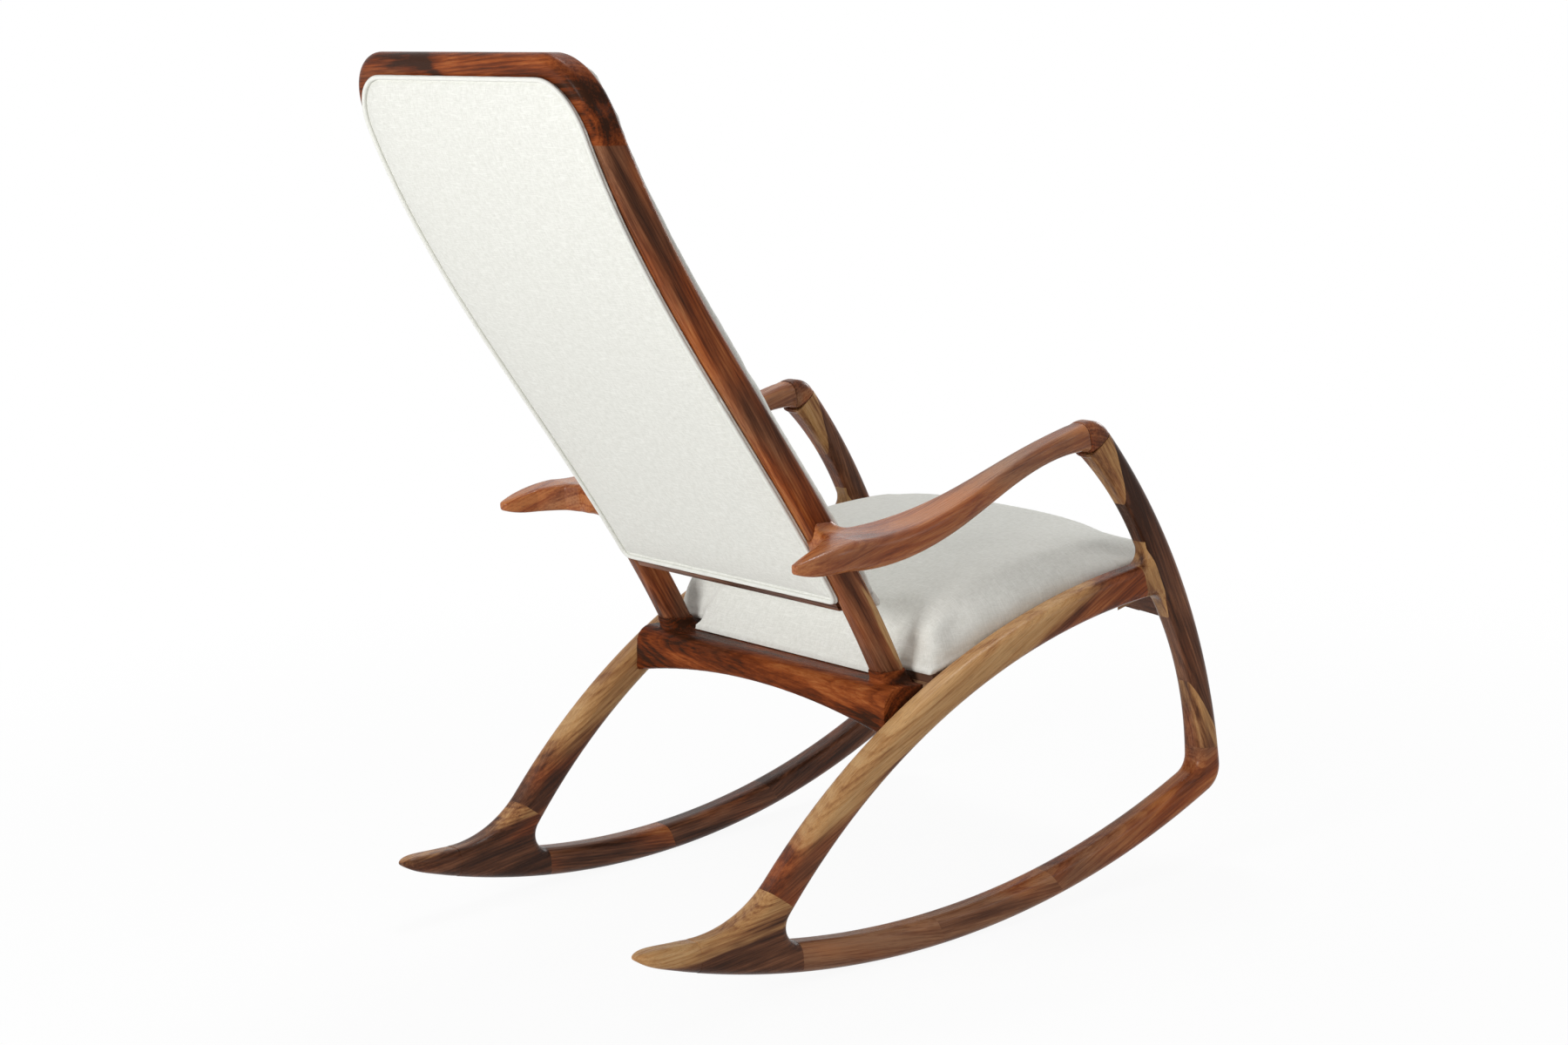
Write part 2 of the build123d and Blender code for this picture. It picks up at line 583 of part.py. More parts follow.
def seat_layer(upper, lower, front, rear):
    """A layer under the cushion between two depths, clipped between two places."""
    face = polygon(seat_point(-0.2, -upper), seat_point(1.2, -upper),
                   seat_point(1.2, -lower), seat_point(-0.2, -lower))
    face = face & polygon((front, 0), (rear, 0), (rear, FAR), (front, FAR))
    return thick_side(face, FAR)


def rear_rail():
    """Rear seat rail: arched below, shouldered behind, with a pommel under each stile."""
    front = REAR_RAIL_FACE - REAR_RAIL_DEPTH
    end = inner_half(front)
    low_arc = ThreePointArc((-end, REAR_RAIL_LOW), (0, REAR_RAIL_LOW + REAR_RAIL_ARCH),
                            (end, REAR_RAIL_LOW))
    face = flat(low_arc, Line((end, REAR_RAIL_LOW), (end, REAR_RAIL_TOP)),
                Line((end, REAR_RAIL_TOP), (-end, REAR_RAIL_TOP)),
                Line((-end, REAR_RAIL_TOP), (-end, REAR_RAIL_LOW)))
    slab = thick_plan(plan_between(front, REAR_RAIL_FACE))
    rail = one(thick_front(face) & slab)
    long_edges = [edge for edge in rail.edges() if edge.length > REAR_RAIL_DEPTH * 2]
    shoulder = max(long_edges, key=lambda e: e.center().Z + e.center().Y)
    rail = one(fillet(shoulder, REAR_RAIL_SHOULDER))
    low_edges = [e for e in rail.edges() if e.length > REAR_RAIL_DEPTH * 2
                 and e.center().Z < REAR_RAIL_TOP - REAR_RAIL_SHOULDER - 1]
    rail = one(fillet(low_edges, RAIL_EASING))
    for side in SIDES.values():
        rail = one(rail + pommel(side))
    return rail


def stile_foot(side, height):
    """Plan section of a stile at a height: centre, width and depth."""
    rear, _ = at_height(BACK_CURVE, height)
    front, _ = at_height(back_offset(STILE_DEPTH), height)
    out, _ = at_height(ThreePointArc(*STILE_EDGE), height)
    return (side * (out.X - STILE_WIDTH / 2), (rear.X + front.X) / 2), STILE_WIDTH, rear.X - front.X


def pommel(side):
    """Swelling that carries a stile's section down into the rear rail."""
    sections = []
    for height, margin in ((REAR_RAIL_TOP - 4, POMMEL_MARGIN), (REAR_RAIL_TOP, POMMEL_MARGIN - 2),
                           (REAR_RAIL_TOP + POMMEL_HEIGHT, 0.0)):
        (x, y), width, depth = stile_foot(side, height)
        section = RectangleRounded(width + 2 * margin, depth + 2 * margin, STILE_ROUNDING + margin)
        sections.append(Pos(x, y, height) * section)
    return one(loft(sections))


def front_rail():
    """Front seat rail: a board that leans like the front legs, its lower edge arched."""
    lean = radians(FRONT_RAIL_LEAN)
    end = inner_half(FRONT_RAIL_FOOT[0] - FRONT_RAIL_HEIGHT)
    face = flat(ThreePointArc((-end, 0), (0, FRONT_RAIL_ARCH), (end, 0)),
                Line((end, 0), (end, FRONT_RAIL_HEIGHT)),
                Line((end, FRONT_RAIL_HEIGHT), (-end, FRONT_RAIL_HEIGHT)),
                Line((-end, FRONT_RAIL_HEIGHT), (-end, 0)))
    plane = Plane(origin=(0, *FRONT_RAIL_FOOT), x_dir=(1, 0, 0), z_dir=(0, -cos(lean), sin(lean)))
    board = extrude(plane * face, FRONT_RAIL_THICKNESS / 2, both=True)
    reach = FRONT_RAIL_HEIGHT
    middle = FRONT_RAIL_FOOT[0]
    rail = one(board & thick_plan(plan_between(middle - reach, middle + reach)))
    return one(fillet([e for e in rail.edges() if e.length > reach * 2], RAIL_EASING / 2))


def seat_cushion():
    """Seat cushion: a crowned profile across the chair, notched round the stiles."""
    rear_top = seat_point(0.0, CUSHION_REAR_HEIGHT)
    front_top = seat_point(1.0, CUSHION_FRONT_HEIGHT)
    middle = seat_point(0.5, (CUSHION_REAR_HEIGHT + CUSHION_FRONT_HEIGHT) / 2 + CUSHION_CROWN)
    face = flat(Line(SEAT_REAR, rear_top), ThreePointArc(rear_top, middle, front_top),
                Line(front_top, SEAT_FRONT), Line(SEAT_FRONT, SEAT_REAR))
    face = round_corner(face, rear_top, CUSHION_REAR_CORNER)
    face = round_corner(face, front_top, CUSHION_FRONT_CORNER)
    reach = CUSHION_REAR_HEIGHT
    plan = plan_between(SEAT_FRONT[0] - reach, SEAT_REAR[0], CUSHION_GAP)
    for side in SIDES.values():
        corner = (side * CUSHION_NOTCH[0], CUSHION_NOTCH[1])
        notch = polygon(corner, (side * FAR, corner[1]), (side * FAR, FAR), (corner[0], FAR))
        plan = plan - notch
    cushion = one(thick_side(face, FAR) & thick_plan(plan))
    top_sides = [e for e in cushion.edges() if e.length > 200 and abs(e.center().X) > CUSHION_NOTCH[0]
                 and e.center().Z > seat_point(0.5, CUSHION_FRONT_HEIGHT / 2)[1]]
    return one(fillet(top_sides, CUSHION_ROUNDING))


def seat_board():
    """Plywood board that carries the cushion between the seat rails."""
    layer = seat_layer(0, BOARD_THICKNESS, BOARD_FRONT, BOARD_REAR)
    return one(layer & thick_plan(plan_between(BOARD_FRONT, BOARD_REAR, BOARD_CLEARANCE)))


def corner_block(side, rear_end, rails):
    """Triangular block glued into a corner of seat rail and side frame, under the board."""
    if rear_end:
        y = REAR_RAIL_FACE - REAR_RAIL_DEPTH
        inwards = -CORNER_BLOCK
    else:
        y = FRONT_RAIL_FOOT[0]
        inwards = CORNER_BLOCK + FRONT_RAIL_HEIGHT * sin(radians(FRONT_RAIL_LEAN))
    tip = y + inwards
    plan = polygon((side * inner_half(y), y), (side * inner_half(tip), tip),
                   (side * (inner_half(y) - abs(inwards)), y))
    layer = seat_layer(BOARD_THICKNESS, BOARD_THICKNESS + CORNER_BLOCK_HEIGHT, y - CORNER_BLOCK,
                       y + CORNER_BLOCK * 2)
    return one(one(layer & thick_plan(plan)) - rails)


# ---- joinery ---------------------------------------------------------------------------
def loose_tenon(plane, clearance=0.0):
    """A loose tenon centred on a plane, its length along the plane's normal."""
    outline = SlotOverall(TENON_WIDTH + 2 * clearance, TENON_THICKNESS + 2 * clearance)
    return extrude(plane * outline, TENON_LENGTH / 2 + clearance, both=True)


def dowel(middle, clearance, length):
    """A dowel across the chair, centred on a point."""
    plane = Plane(origin=middle, z_dir=(1, 0, 0))
    return extrude(plane * Circle(DOWEL_RADIUS + clearance), length / 2 + clearance, both=True)


def screw(head, direction, clearance=0.0):
    """A countersunk screw from the middle of its head's face."""
    plane = Plane(origin=head, z_dir=direction)
    shank = extrude(plane * Circle(SCREW_RADIUS + clearance), SCREW_LENGTH + clearance)
    cone = Solid.make_cone(SCREW_HEAD_RADIUS + clearance, SCREW_RADIUS + clearance, SCREW_HEAD_HEIGHT,
                           plane=plane)
    return one(shank + cone)


def joint_plane(frame, joint):
    """Plane of a glued joint, centred on the member that it crosses."""
    (ay, az), (by, bz) = joint
    length = hypot(by - ay, bz - az)
    across = ((by - ay) / length, (bz - az) / length)
    aside = (-across[1] / 2, across[0] / 2)
    strip = polygon((ay - aside[0], az - aside[1]), (by - aside[0], bz - aside[1]),
                    (by + aside[0], bz + aside[1]), (ay + aside[0], az + aside[1]))
    centre = one(frame & thick_side(strip, FAR)).center()
    return Plane(origin=(0, centre.Y, centre.Z), x_dir=(1, 0, 0), z_dir=(0, -across[1], across[0]))


def cut_for(pieces, names, make):
    """Cut the seat of a tenon, dowel or screw in the named pieces, and return the thing."""
    seat = make(HOLE_CLEARANCE)
    for name in names:
        pieces[name] = one(pieces[name] - seat)
    return one(make(0.0))


FRAME_JOINTS = (
    (TAIL_LEG_JOINT, ("rocker_tail", "side_rail")),
    (TAIL_ROCKER_JOINT, ("rocker_tail", "rocker_rear")),
    (REAR_SPLICE, ("rocker_rear", "rocker_middle")),
    (FRONT_SPLICE, ("rocker_middle", "rocker_front")),
    (TOE_JOINT, ("rocker_front", "leg_foot_block", "front_leg")),
    (RAIL_JOINT, ("side_rail", "leg_rail_block", "front_leg")),
    (KNUCKLE_JOINT, ("knuckle", "leg_top_block", "front_leg")),
)


def arm_seat(y):
    """Where an arm meets its stile: distance from the mid-plane, and height."""
    low, high = ARM_STATIONS[-2:]
    z = low[2] + (high[2] - low[2]) * (y - low[0]) / (high[0] - low[0])
    out, _ = at_height(ThreePointArc(*STILE_EDGE), z)
    return out.X, z


def stile_plane(side, height):
    """Plane across a stile at a height."""
    (x, y), _, _ = stile_foot(side, height)
    _, run = at_height(BACK_CURVE, height)
    return Plane(origin=(x, y, height), x_dir=(0, run.Y, -run.X), z_dir=(0, run.X, run.Y))


def join_side(pieces, side, name):
    """Joinery of one side, cut into its pieces: (arm tenon, back tenons, dowels by kind)."""
    middle = (side * ARM_STATIONS[0][1], (KNUCKLE_TOP[0] + KNUCKLE_BOTTOM[0]) / 2,
              (KNUCKLE_TOP[1] + KNUCKLE_BOTTOM[1]) / 2)
    along = (0, KNUCKLE_TOP[1] - KNUCKLE_BOTTOM[1], KNUCKLE_BOTTOM[0] - KNUCKLE_TOP[0])
    plane = Plane(origin=middle, x_dir=(1, 0, 0), z_dir=along)
    names = (f"{name}_arm", f"{name}_knuckle", f"{name}_front_leg", f"{name}_leg_top_block")
    arm_tenon = cut_for(pieces, names, lambda gap: loose_tenon(plane, gap))

    back_tenons = []
    for height, other in ((REAR_RAIL_TOP + POMMEL_HEIGHT, "rear_seat_rail"), (CREST_JOINT, "crest_rail")):
        plane = stile_plane(side, height)
        back_tenons.append(cut_for(pieces, (f"{name}_stile", other), lambda gap: loose_tenon(plane, gap)))
    height = BACK_RAIL_LOW + BACK_RAIL_TENON
    (x, y), _, _ = stile_foot(side, height)
    depth = TENON_LENGTH / 2 - STILE_WIDTH / 2 - TENON_THICKNESS / 4
    plane = Plane(origin=(x - side * (STILE_WIDTH / 2 + depth), y, height), x_dir=(0, 0, 1), z_dir=(1, 0, 0))
    names = (f"{name}_stile", "back_bottom_rail")
    back_tenons.append(cut_for(pieces, names, lambda gap: loose_tenon(plane, gap)))

    arm_dowels = []
    for y in ARM_DOWELS:
        x, z = arm_seat(y)
        names = (f"{name}_stile", f"{name}_arm")
        arm_dowels.append(cut_for(pieces, names, lambda gap: dowel((side * x, y, z), gap, ARM_DOWEL_LENGTH)))
    rail_dowels = []
    for rail, member, (y, z), slope in (("rear_seat_rail", "side_rail", REAR_DOWELS, REAR_DOWEL_SLOPE),
                                        ("front_seat_rail", "front_leg", FRONT_DOWELS, FRONT_DOWEL_SLOPE)):
        for step in (-SEAT_DOWEL_SPACING / 2, SEAT_DOWEL_SPACING / 2):
            spot_y = y + step * cos(radians(slope))
            spot = (side * inner_half(spot_y), spot_y, z + step * sin(radians(slope)))
            rail_dowels.append(cut_for(pieces, (rail, f"{name}_{member}"),
                                       lambda gap: dowel(spot, gap, DOWEL_LENGTH)))
    return arm_tenon, back_tenons, arm_dowels, rail_dowels


def build_chair():
    """Every piece of the chair in the drawing's attitude: a list of solids for each node."""
    flat_frame = side_frame()
    flat_pieces = side_frame_pieces()
    frame_tenons = []
    for joint, names in FRAME_JOINTS:
        plane = joint_plane(flat_frame, joint)
        frame_tenons.append(cut_for(flat_pieces, names, lambda gap: loose_tenon(plane, gap)))

    pieces = back_pieces()
    pieces["rear_seat_rail"] = rear_rail()
    pieces["front_seat_rail"] = front_rail()
    pieces["seat_board"] = seat_board()
    pieces["seat_cushion"] = seat_cushion()
    for name, side in SIDES.items():
        for piece_name, solid in flat_pieces.items():
            pieces[f"{name}_{piece_name}"] = mirrored(frame_place() * solid, side)
        pieces[f"{name}_arm"] = one(mirrored(right_arm(), side) - pieces[f"{name}_stile"])
        for end in ("rear", "front"):
            rail = pieces[f"{end}_seat_rail"]
            pieces[f"{name}_{end}_corner_block"] = corner_block(side, end == "rear", rail)

    groups = {"side_frame_tenons": [], "back_tenons": [], "arm_dowels": [], "seat_rail_dowels": [],
              "seat_screws": []}
    for name, side in SIDES.items():
        groups["side_frame_tenons"] += [mirrored(frame_place() * tenon, side) for tenon in frame_tenons]
        arm_tenon, back_tenons, arm_dowels, rail_dowels = join_side(pieces, side, name)
        groups["side_frame_tenons"].append(arm_tenon)
        groups["back_tenons"] += back_tenons
        groups["arm_dowels"] += arm_dowels
        groups["seat_rail_dowels"] += rail_dowels
        for end in ("rear", "front"):
            block = f"{name}_{end}_corner_block"
            up = Vector(0, -sin(SEAT_PITCH), cos(SEAT_PITCH))
            head = pieces[block].center() - up * (CORNER_BLOCK_HEIGHT / 2)
            names = (block, "seat_board")
            groups["seat_screws"].append(cut_for(pieces, names, lambda gap: screw(head, up, gap)))
    solids = {name: [piece] for name, piece in pieces.items()}
    solids.update(groups)
    return solids


def at_rest():
    """The turn from the drawing to the chair at rest, its depth centred on the origin."""
    turn = Pos(0, 0, ROCKER_RADIUS) * Rot(REST_TILT, 0, 0) * Pos(0, 0, -ROCKER_RADIUS)
    return Pos(0, REST_SHIFT, 0) * turn


if __name__ == "__main__":
    os.makedirs("parts", exist_ok=True)
    place = at_rest()
    for node, solids in build_chair().items():
        placed = [place * solid for solid in solids]
        shape = placed[0] if len(placed) == 1 else Compound(children=placed)
        shape.label = node
        export_step(shape, f"parts/{node}.step")
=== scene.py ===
from math import cos, pi, radians, sin

import bpy
import numpy as np
import openvdb
from mathutils import Matrix, Vector
from mathutils.bvhtree import BVHTree


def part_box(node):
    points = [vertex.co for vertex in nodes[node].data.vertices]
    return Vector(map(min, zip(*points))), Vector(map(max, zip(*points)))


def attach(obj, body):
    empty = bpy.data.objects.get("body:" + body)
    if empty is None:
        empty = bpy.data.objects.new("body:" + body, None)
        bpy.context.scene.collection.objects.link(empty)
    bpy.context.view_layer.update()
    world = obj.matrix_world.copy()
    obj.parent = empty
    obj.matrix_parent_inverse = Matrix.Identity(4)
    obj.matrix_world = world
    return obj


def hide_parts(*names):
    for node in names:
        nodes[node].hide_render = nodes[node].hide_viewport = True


# High-back upholstered rocking chair in oiled walnut and off-white linen.
# Metres, in the CAD solids' frame: Z up, the chair's front at -Y, the sitter's right at -X.

# ---- materials: colours are linear -------------------------------------------------------
HEART_DARK = (0.038, 0.014, 0.007)
HEART_BROWN = (0.098, 0.036, 0.017)
HEART_MID = (0.190, 0.077, 0.037)
HEART_TAN = (0.310, 0.150, 0.076)
HEART_RED = (0.130, 0.028, 0.008)
HEART_WARM = (0.260, 0.063, 0.016)
HEART_AMBER = (0.430, 0.150, 0.045)
SAP_BROWN = (0.250, 0.105, 0.040)
SAP_GOLD = (0.430, 0.225, 0.088)
SAP_PALE = (0.560, 0.340, 0.155)
# The tones at which the colours lie in brown and red heartwood and in sapwood.
BROWN_HEARTWOOD = ((0.38, HEART_DARK), (0.46, HEART_BROWN), (0.53, HEART_MID), (0.62, HEART_TAN))
RED_HEARTWOOD = ((0.37, HEART_DARK), (0.44, HEART_RED), (0.52, HEART_WARM), (0.62, HEART_AMBER))
SAPWOOD = ((0.36, HEART_BROWN), (0.42, SAP_BROWN), (0.50, SAP_GOLD), (0.62, SAP_PALE))

# Noises in the log: squeeze along the grain, scale, detail and roughness.
FIGURE = (0.16, 34.0, 3.0, 0.55)
CLOUD = (0.35, 14.0, 2.0, 0.5)
STREAK = (0.035, 330.0, 3.0, 0.6)
FIBRE = (0.030, 1000.0, 2.0, 0.6)
PORE = (0.022, 1900.0, 1.0, 0.5)
BAND = (85.0, 3.0, 0.6)       # scale, detail and roughness of broad bands of rings
BAND_TAPER = 0.05             # how fast the bands change along the log
# How the rings wander: squeeze, scale and detail of a noise, and how far it moves them.
WANDERINGS = ((0.35, 9.0, 1.0, 0.030), (0.12, 55.0, 2.0, 0.0035))
NOISE_MIDDLE = (0.5, 0.5, 0.5)

TONE_WEIGHTS = (0.36, 0.32, 0.20, 0.12, 0.22)  # of band, figure, streak, fibre and cloud
TONE_SHIFT = -0.10
PLAIN_DARKNESS = 0.35         # the darkness that leaves the tone as it is
DARKNESS_WEIGHT = 0.24
RING_SPACING = 0.0046
LATE_WOOD = (0.25, 0.92)      # where in a ring the late wood starts, and where it is darkest
LATE_CLOUDS = (0.35, 0.65)    # clouds between which its weight runs through these two
LATE_WEIGHT = (0.01, 0.045)
SHADE_BEND = 0.10             # how far the figure bends the ends of a shade
SHADE_ON_SAP = 0.4            # how far a shade moves the sapwood's edge
RED_CLOUDS = (0.62, 0.92)     # clouds between which cold wood turns red
WARMTH_WEIGHT = 0.45
SAP_WANDER = (0.045, 0.02)    # how far figure and band move the sapwood's edge

PORE_MASK = (0.56, 0.70)
PORE_DARKNESS = 0.35
PORE_DEPTH = 0.0002
FIBRE_RELIEF = 0.25           # height of the fibres as a share of the pores' depth
WOOD_BUMP = 0.22
WOOD_SPECULAR = 0.13
WOOD_ROUGHNESS = (0.22, 0.42)  # from the closest grain to the most open

LINEN_LIGHT = (0.800, 0.803, 0.755)
LINEN_DARK = (0.660, 0.660, 0.608)
# Darkest tone of the piping's linen, above that of the panel's: a painted highlight on the raised
# cord.
PIPING_DARK_WITH_HIGHLIGHT = (0.730, 0.730, 0.680)
THREAD_PITCH = 0.0011
THREAD_DRIFT = (26.0, 0.0016)  # scale of the threads' wander, and its reach
THREAD = (760.0, 2.0, 0.6)    # scale, detail and roughness of their thickness
THREAD_SQUEEZE = 0.13         # of that noise along a thread
SLUB = (330.0, 1.0, 0.5)      # the same of thick places in the thread
SLUB_SQUEEZE = 0.10
SLUB_MASK = (0.60, 0.72)
SLUB_WEIGHT = 0.14
CROSSING_RELIEF = 0.4         # height of the crossings beside that of uneven threads
MOTTLE = (160.0, 3.0, 0.6)    # scale, detail and roughness of its uneven tone
FUZZ = (2200.0, 2.0)          # scale and detail of its loose fibres
FACE_BLEND = (0.60, 0.78)     # slopes between which one face's weave gives way to the next
LINEN_BUMP = 0.30
LINEN_DEPTH = 0.0004

# Light and dark colour of each kind of sawn wood.
BIRCH_PLY = ((0.62, 0.45, 0.28), (0.50, 0.33, 0.18))
WALNUT_PLY = ((0.13, 0.055, 0.024), (0.07, 0.026, 0.011))
BEECH = ((0.58, 0.38, 0.22), (0.46, 0.28, 0.14))
BLOCK_WOOD = ((0.36, 0.20, 0.10), (0.26, 0.13, 0.06))
GRAIN_UPRIGHT = (14.0, 14.0, 0.8)
GRAIN_ACROSS = (1.0, 14.0, 14.0)
ZINC_DARK = (0.42, 0.42, 0.44)
ZINC_LIGHT = (0.60, 0.60, 0.60)

# ---- soft goods and sculpted joints ------------------------------------------------------
SEAT_EDGE = 0.021             # rounding of the cushion's upper edges before it is filled
SEAT_LOW_EDGE = 0.0015        # and of its lower edges
SEAT_LOW = (0.012, 0.034)     # heights over its underside between which they change
SEAT_UNDER_SLOPE = -0.85      # upward part of a normal under which a face is the underside
SEAT_FORM_VOXEL = 0.003
SEAT_MESH = 0.006             # size of the faces that are simulated, also of the pad's
SEAT_FRAMES = 16
SEAT_PRESSURE = 4.0
SEAT_CAP = 0.014              # how far its filling may move a point
SEAT_PIN = 0.007              # what lies lower than this on the seat board stays
SEAT_SWELL = 0.008            # how far the top may stand over its CAD solid
SEAT_BULGE = 0.004            # how far its rear face may stand out
TOP_SLOPE = 0.6               # part of a normal from which a face is a top, or the pad's front
REAR_SLOPE = 0.7              # and rearward part from which it is the rear face
SEAT_CROWN = 0.006            # more height at the middle of its top
SEAT_CORNER_DROP = 0.019      # less at its front corners
SEAT_CORNER = (0.42, 0.32)    # reach of that drop, as shares of half the width and of the depth
SEAT_TOP = (0.015, 0.035)     # rise from which points are the top's, and how fast they become so
SEAT_SMOOTHING = 14
SEAT_FOOT = 0.006             # lowest layer, which keeps the shape of its CAD solid
SEAT_FOOT_SWEEP = 0.008       # fillet between that layer and the filled shape
SEAT_FOOT_VOXEL = 0.0024
SEAT_FOOT_REACH = 0.012

PAD_EDGE = 0.0035
PAD_VOXEL = 0.003
PAD_FRAMES = 12
PAD_PRESSURE = 3.0
PAD_CAP = 0.008
PAD_SWELL = 0.004
PAD_SMOOTHING = 3
COVER_CLOTH = dict(quality=4, mass=0.3, tension_stiffness=20, compression_stiffness=20,
                   shear_stiffness=8, bending_stiffness=0.8, use_pressure=True)

BACK_UP = (0.0, 0.46, 0.888)
BACK_REAR = (0.0, -0.888, 0.46)
PANEL_OUT = (0.0, 0.89, -0.46)  # the way in which the rear panel and its piping stand out
PANEL_EDGE = 0.003
PANEL_VOXEL = 0.0015
PANEL_MESH = 0.002
PANEL_DRAWN = (0.0034, 0.0038)  # how far its cover draws in at the sides, and above and below
PANEL_DROP = 0.0042           # how much thinner the padding is along its edge
PANEL_SWELL = 0.0040
PANEL_SWELL_RUN = 0.022
PANEL_MARGIN = 0.03           # above and below the heights at which its faces are measured
PANEL_PROBES = 25
SEAM_INSET = 0.0075           # of the sewn line inside the rear panel's edge
SEAM_DEPTH = 0.0026
SEAM_WIDTH = 0.0018
PUCKER_DEPTH = 0.00035
PUCKER_RUN = 0.006            # how far inside the sewn line the puckers reach
PUCKER_WAVE = (0.019, 0.071, 1.3)  # their spacing, and that and the strength of its unevenness

PIPING_RADIUS = 0.0029
PIPING_SIDES = 12
PIPING_RISE = -0.0032
PIPING_STEP = 0.0025
PIPING_SMOOTHING = 6
PIPING_WAVE = (0.025, 0.0061)  # unevenness of its thickness, and the spacing of that
PIPING_LAP = 0.13             # where the cord's ends lap, as a share of its round
LAP_SWELL = (0.22, 0.004)     # share and length of the thicker lap
LAP_GAP = (0.30, 0.0016, 0.006)  # share, length and place of the nick beside it

ARM_SWEEP = 0.018             # fillets between arm and stile
KNUCKLE_SWEEP = 0.006         # between arm and knuckle
RAIL_SWEEP = 0.010            # and between rear seat rail and stile
JOINT_EASE = 0.014            # how far from a joint of two sculpted pieces the step is eased
JOINT_SMOOTHING = 8
FILLET_SKIN = 0.0002          # left between a fillet and the neighbour that it runs into
WOOD_VOXEL = 0.0015
# Cove behind the stile: outline as (behind the stile's rear face, outside its outer face).
COVE_OUTLINE = ((0.008, -0.080), (0.008, 0.012), (0.016, 0.028), (0.045, 0.046), (0.110, 0.062),
                (0.110, -0.080))
COVE_ROUNDING = 0.006
COVE_EASING = 0.007
COVE_HEIGHT = 0.030           # over the arm's lowest point, where the stile is measured
COVE_STILE = 0.232            # a place inside the stile, from the mid-plane
COVE_STILE_DEPTH = 0.018      # and another, before the stile's rear face
FAR_OUTSIDE = 1.0             # from where the rays start that measure a solid
BATCH = 4000                  # points that are compared with an outline at a time

# ---- camera, stage and lamps -------------------------------------------------------------
CAMERA_PLACE = (-3.10088, 2.3614, 1.269866)
CAMERA_RIGHT = (-0.613158, -0.788349, -0.050428)
CAMERA_UP = (0.122632, -0.158053, 0.979786)
CAMERA_AHEAD = (0.780383, -0.59458, -0.193588)
CAMERA_LENS = 70.0
FLOOR_HALF = 9.0
FLOOR_COLOUR = (0.86, 0.86, 0.86, 1.0)
FLOOR_WHITE = 0.93            # share of the floor that is plain white near the chair
SHADOW_EDGE = (0.7, 2.2)      # distances between which that share rises to the whole
ROOM_LIGHT = 0.38             # strength of the world where its white isn't seen
WHITE = (1.0, 1.0, 1.0, 1.0)
# Soft rectangular lamps: place, the place they point at, size and power.
SOFTBOXES = {
    "rear_softbox": ((-0.7, 3.7, 1.5), (0.0, 0.2, 0.6), (1.3, 0.9), 86.0),
    "overhead_softbox": ((0.6, -0.4, 3.0), (0.0, 0.0, 0.5), (0.7, 0.7), 22.0),
    "front_softbox": ((0.9, -3.6, 1.8), (0.0, 0.0, 0.7), (1.3, 0.9), 34.0),
    "side_softbox": ((-3.0, -1.6, 1.9), (0.0, 0.0, 0.6), (0.5, 0.9), 8.0),
}


# ---- node helpers ------------------------------------------------------------------------
class Graph:
    """The node tree of a material or a world, written as nested calls."""

    def __init__(self, name):
        self.material = bpy.data.materials.new(name)
        self.material.use_nodes = True
        self.tree = self.material.node_tree
        self.shader = self.tree.nodes["Principled BSDF"]

    @classmethod
    def of(cls, owner):
        """The node tree that a world already has."""
        graph = cls.__new__(cls)
        graph.tree = owner.node_tree
        return graph

    def put(self, socket, value):
        """Links a socket to another, or sets its value."""
        if isinstance(value, bpy.types.NodeSocket):
            self.tree.links.new(value, socket)
        else:
            socket.default_value = value

    def node(self, kind, *values, out=0, **settings):
        """A node with its first inputs in order, and named ones as name=value."""
        made = self.tree.nodes.new(kind)
        named = {}
        for key, value in settings.items():
            if hasattr(made, key):
                setattr(made, key, value)
            else:
                named[key] = value
        for socket, value in zip(made.inputs, values):
            if value is not None:
                self.put(socket, value)
        for key, value in named.items():
            self.put(made.inputs[key.replace("_", " ").title()], value)
        return made.outputs[out]

    def math(self, operation, *values):
        return self.node("ShaderNodeMath", *values, operation=operation)

    def vector(self, operation, *values, out=0):
        return self.node("ShaderNodeVectorMath", *values, operation=operation, out=out)

    def scaled(self, vector, x, y, z):
        return self.vector("MULTIPLY", vector, (x, y, z))

    def noise(self, vector, scale, detail=2.0, roughness=0.5, out=0):
        return self.node("ShaderNodeTexNoise", vector, Scale=scale, Detail=detail,
                         Roughness=roughness, out=out)

    def ease(self, value, low, high, start=0.0, end=1.0):
        """value from low to high made start to end, smoothly."""
        return self.node("ShaderNodeMapRange", value, low, high, start, end,
                         interpolation_type="SMOOTHSTEP")

    def mix(self, share, a, b):
        """Two colours mixed."""
        made = self.tree.nodes.new("ShaderNodeMix")
        made.data_type = "RGBA"
        made.clamp_factor = True
        self.put(made.inputs[0], share)
        for socket, value in zip((made.inputs[6], made.inputs[7]), (a, b)):
            self.put(socket, (*value, 1.0) if isinstance(value, tuple) else value)
        return made.outputs[2]

    def ramp(self, value, *stops):
        """A colour that runs through stops of (place, colour)."""
        made = self.tree.nodes.new("ShaderNodeValToRGB")
        self.put(made.inputs[0], value)
        elements = made.color_ramp.elements
        while len(elements) < len(stops):
            elements.new(0.5)
        for element, (place, colour) in zip(elements, stops):
            element.position = place
            element.color = (*colour, 1.0)
        return made.outputs[0]

    def total(self, *terms):
        """A weighted sum: pairs of (weight, value)."""
        result = None
        for weight, value in terms:
            part = self.math("MULTIPLY", value, weight)
            result = part if result is None else self.math("ADD", result, part)
        return result

    def seen(self):
        """1 for the rays of camera, gloss and transmission, which see a plain white."""
        path = self.tree.nodes.new("ShaderNodeLightPath")
        shiny = self.math("MAXIMUM", path.outputs["Is Glossy Ray"],
                          path.outputs["Is Transmission Ray"])
        return self.math("MAXIMUM", path.outputs["Is Camera Ray"], shiny)

    def set(self, **values):
        """Sets inputs of the surface shader."""
        for key, value in values.items():
            self.put(self.shader.inputs[key.replace("_", " ")], value)


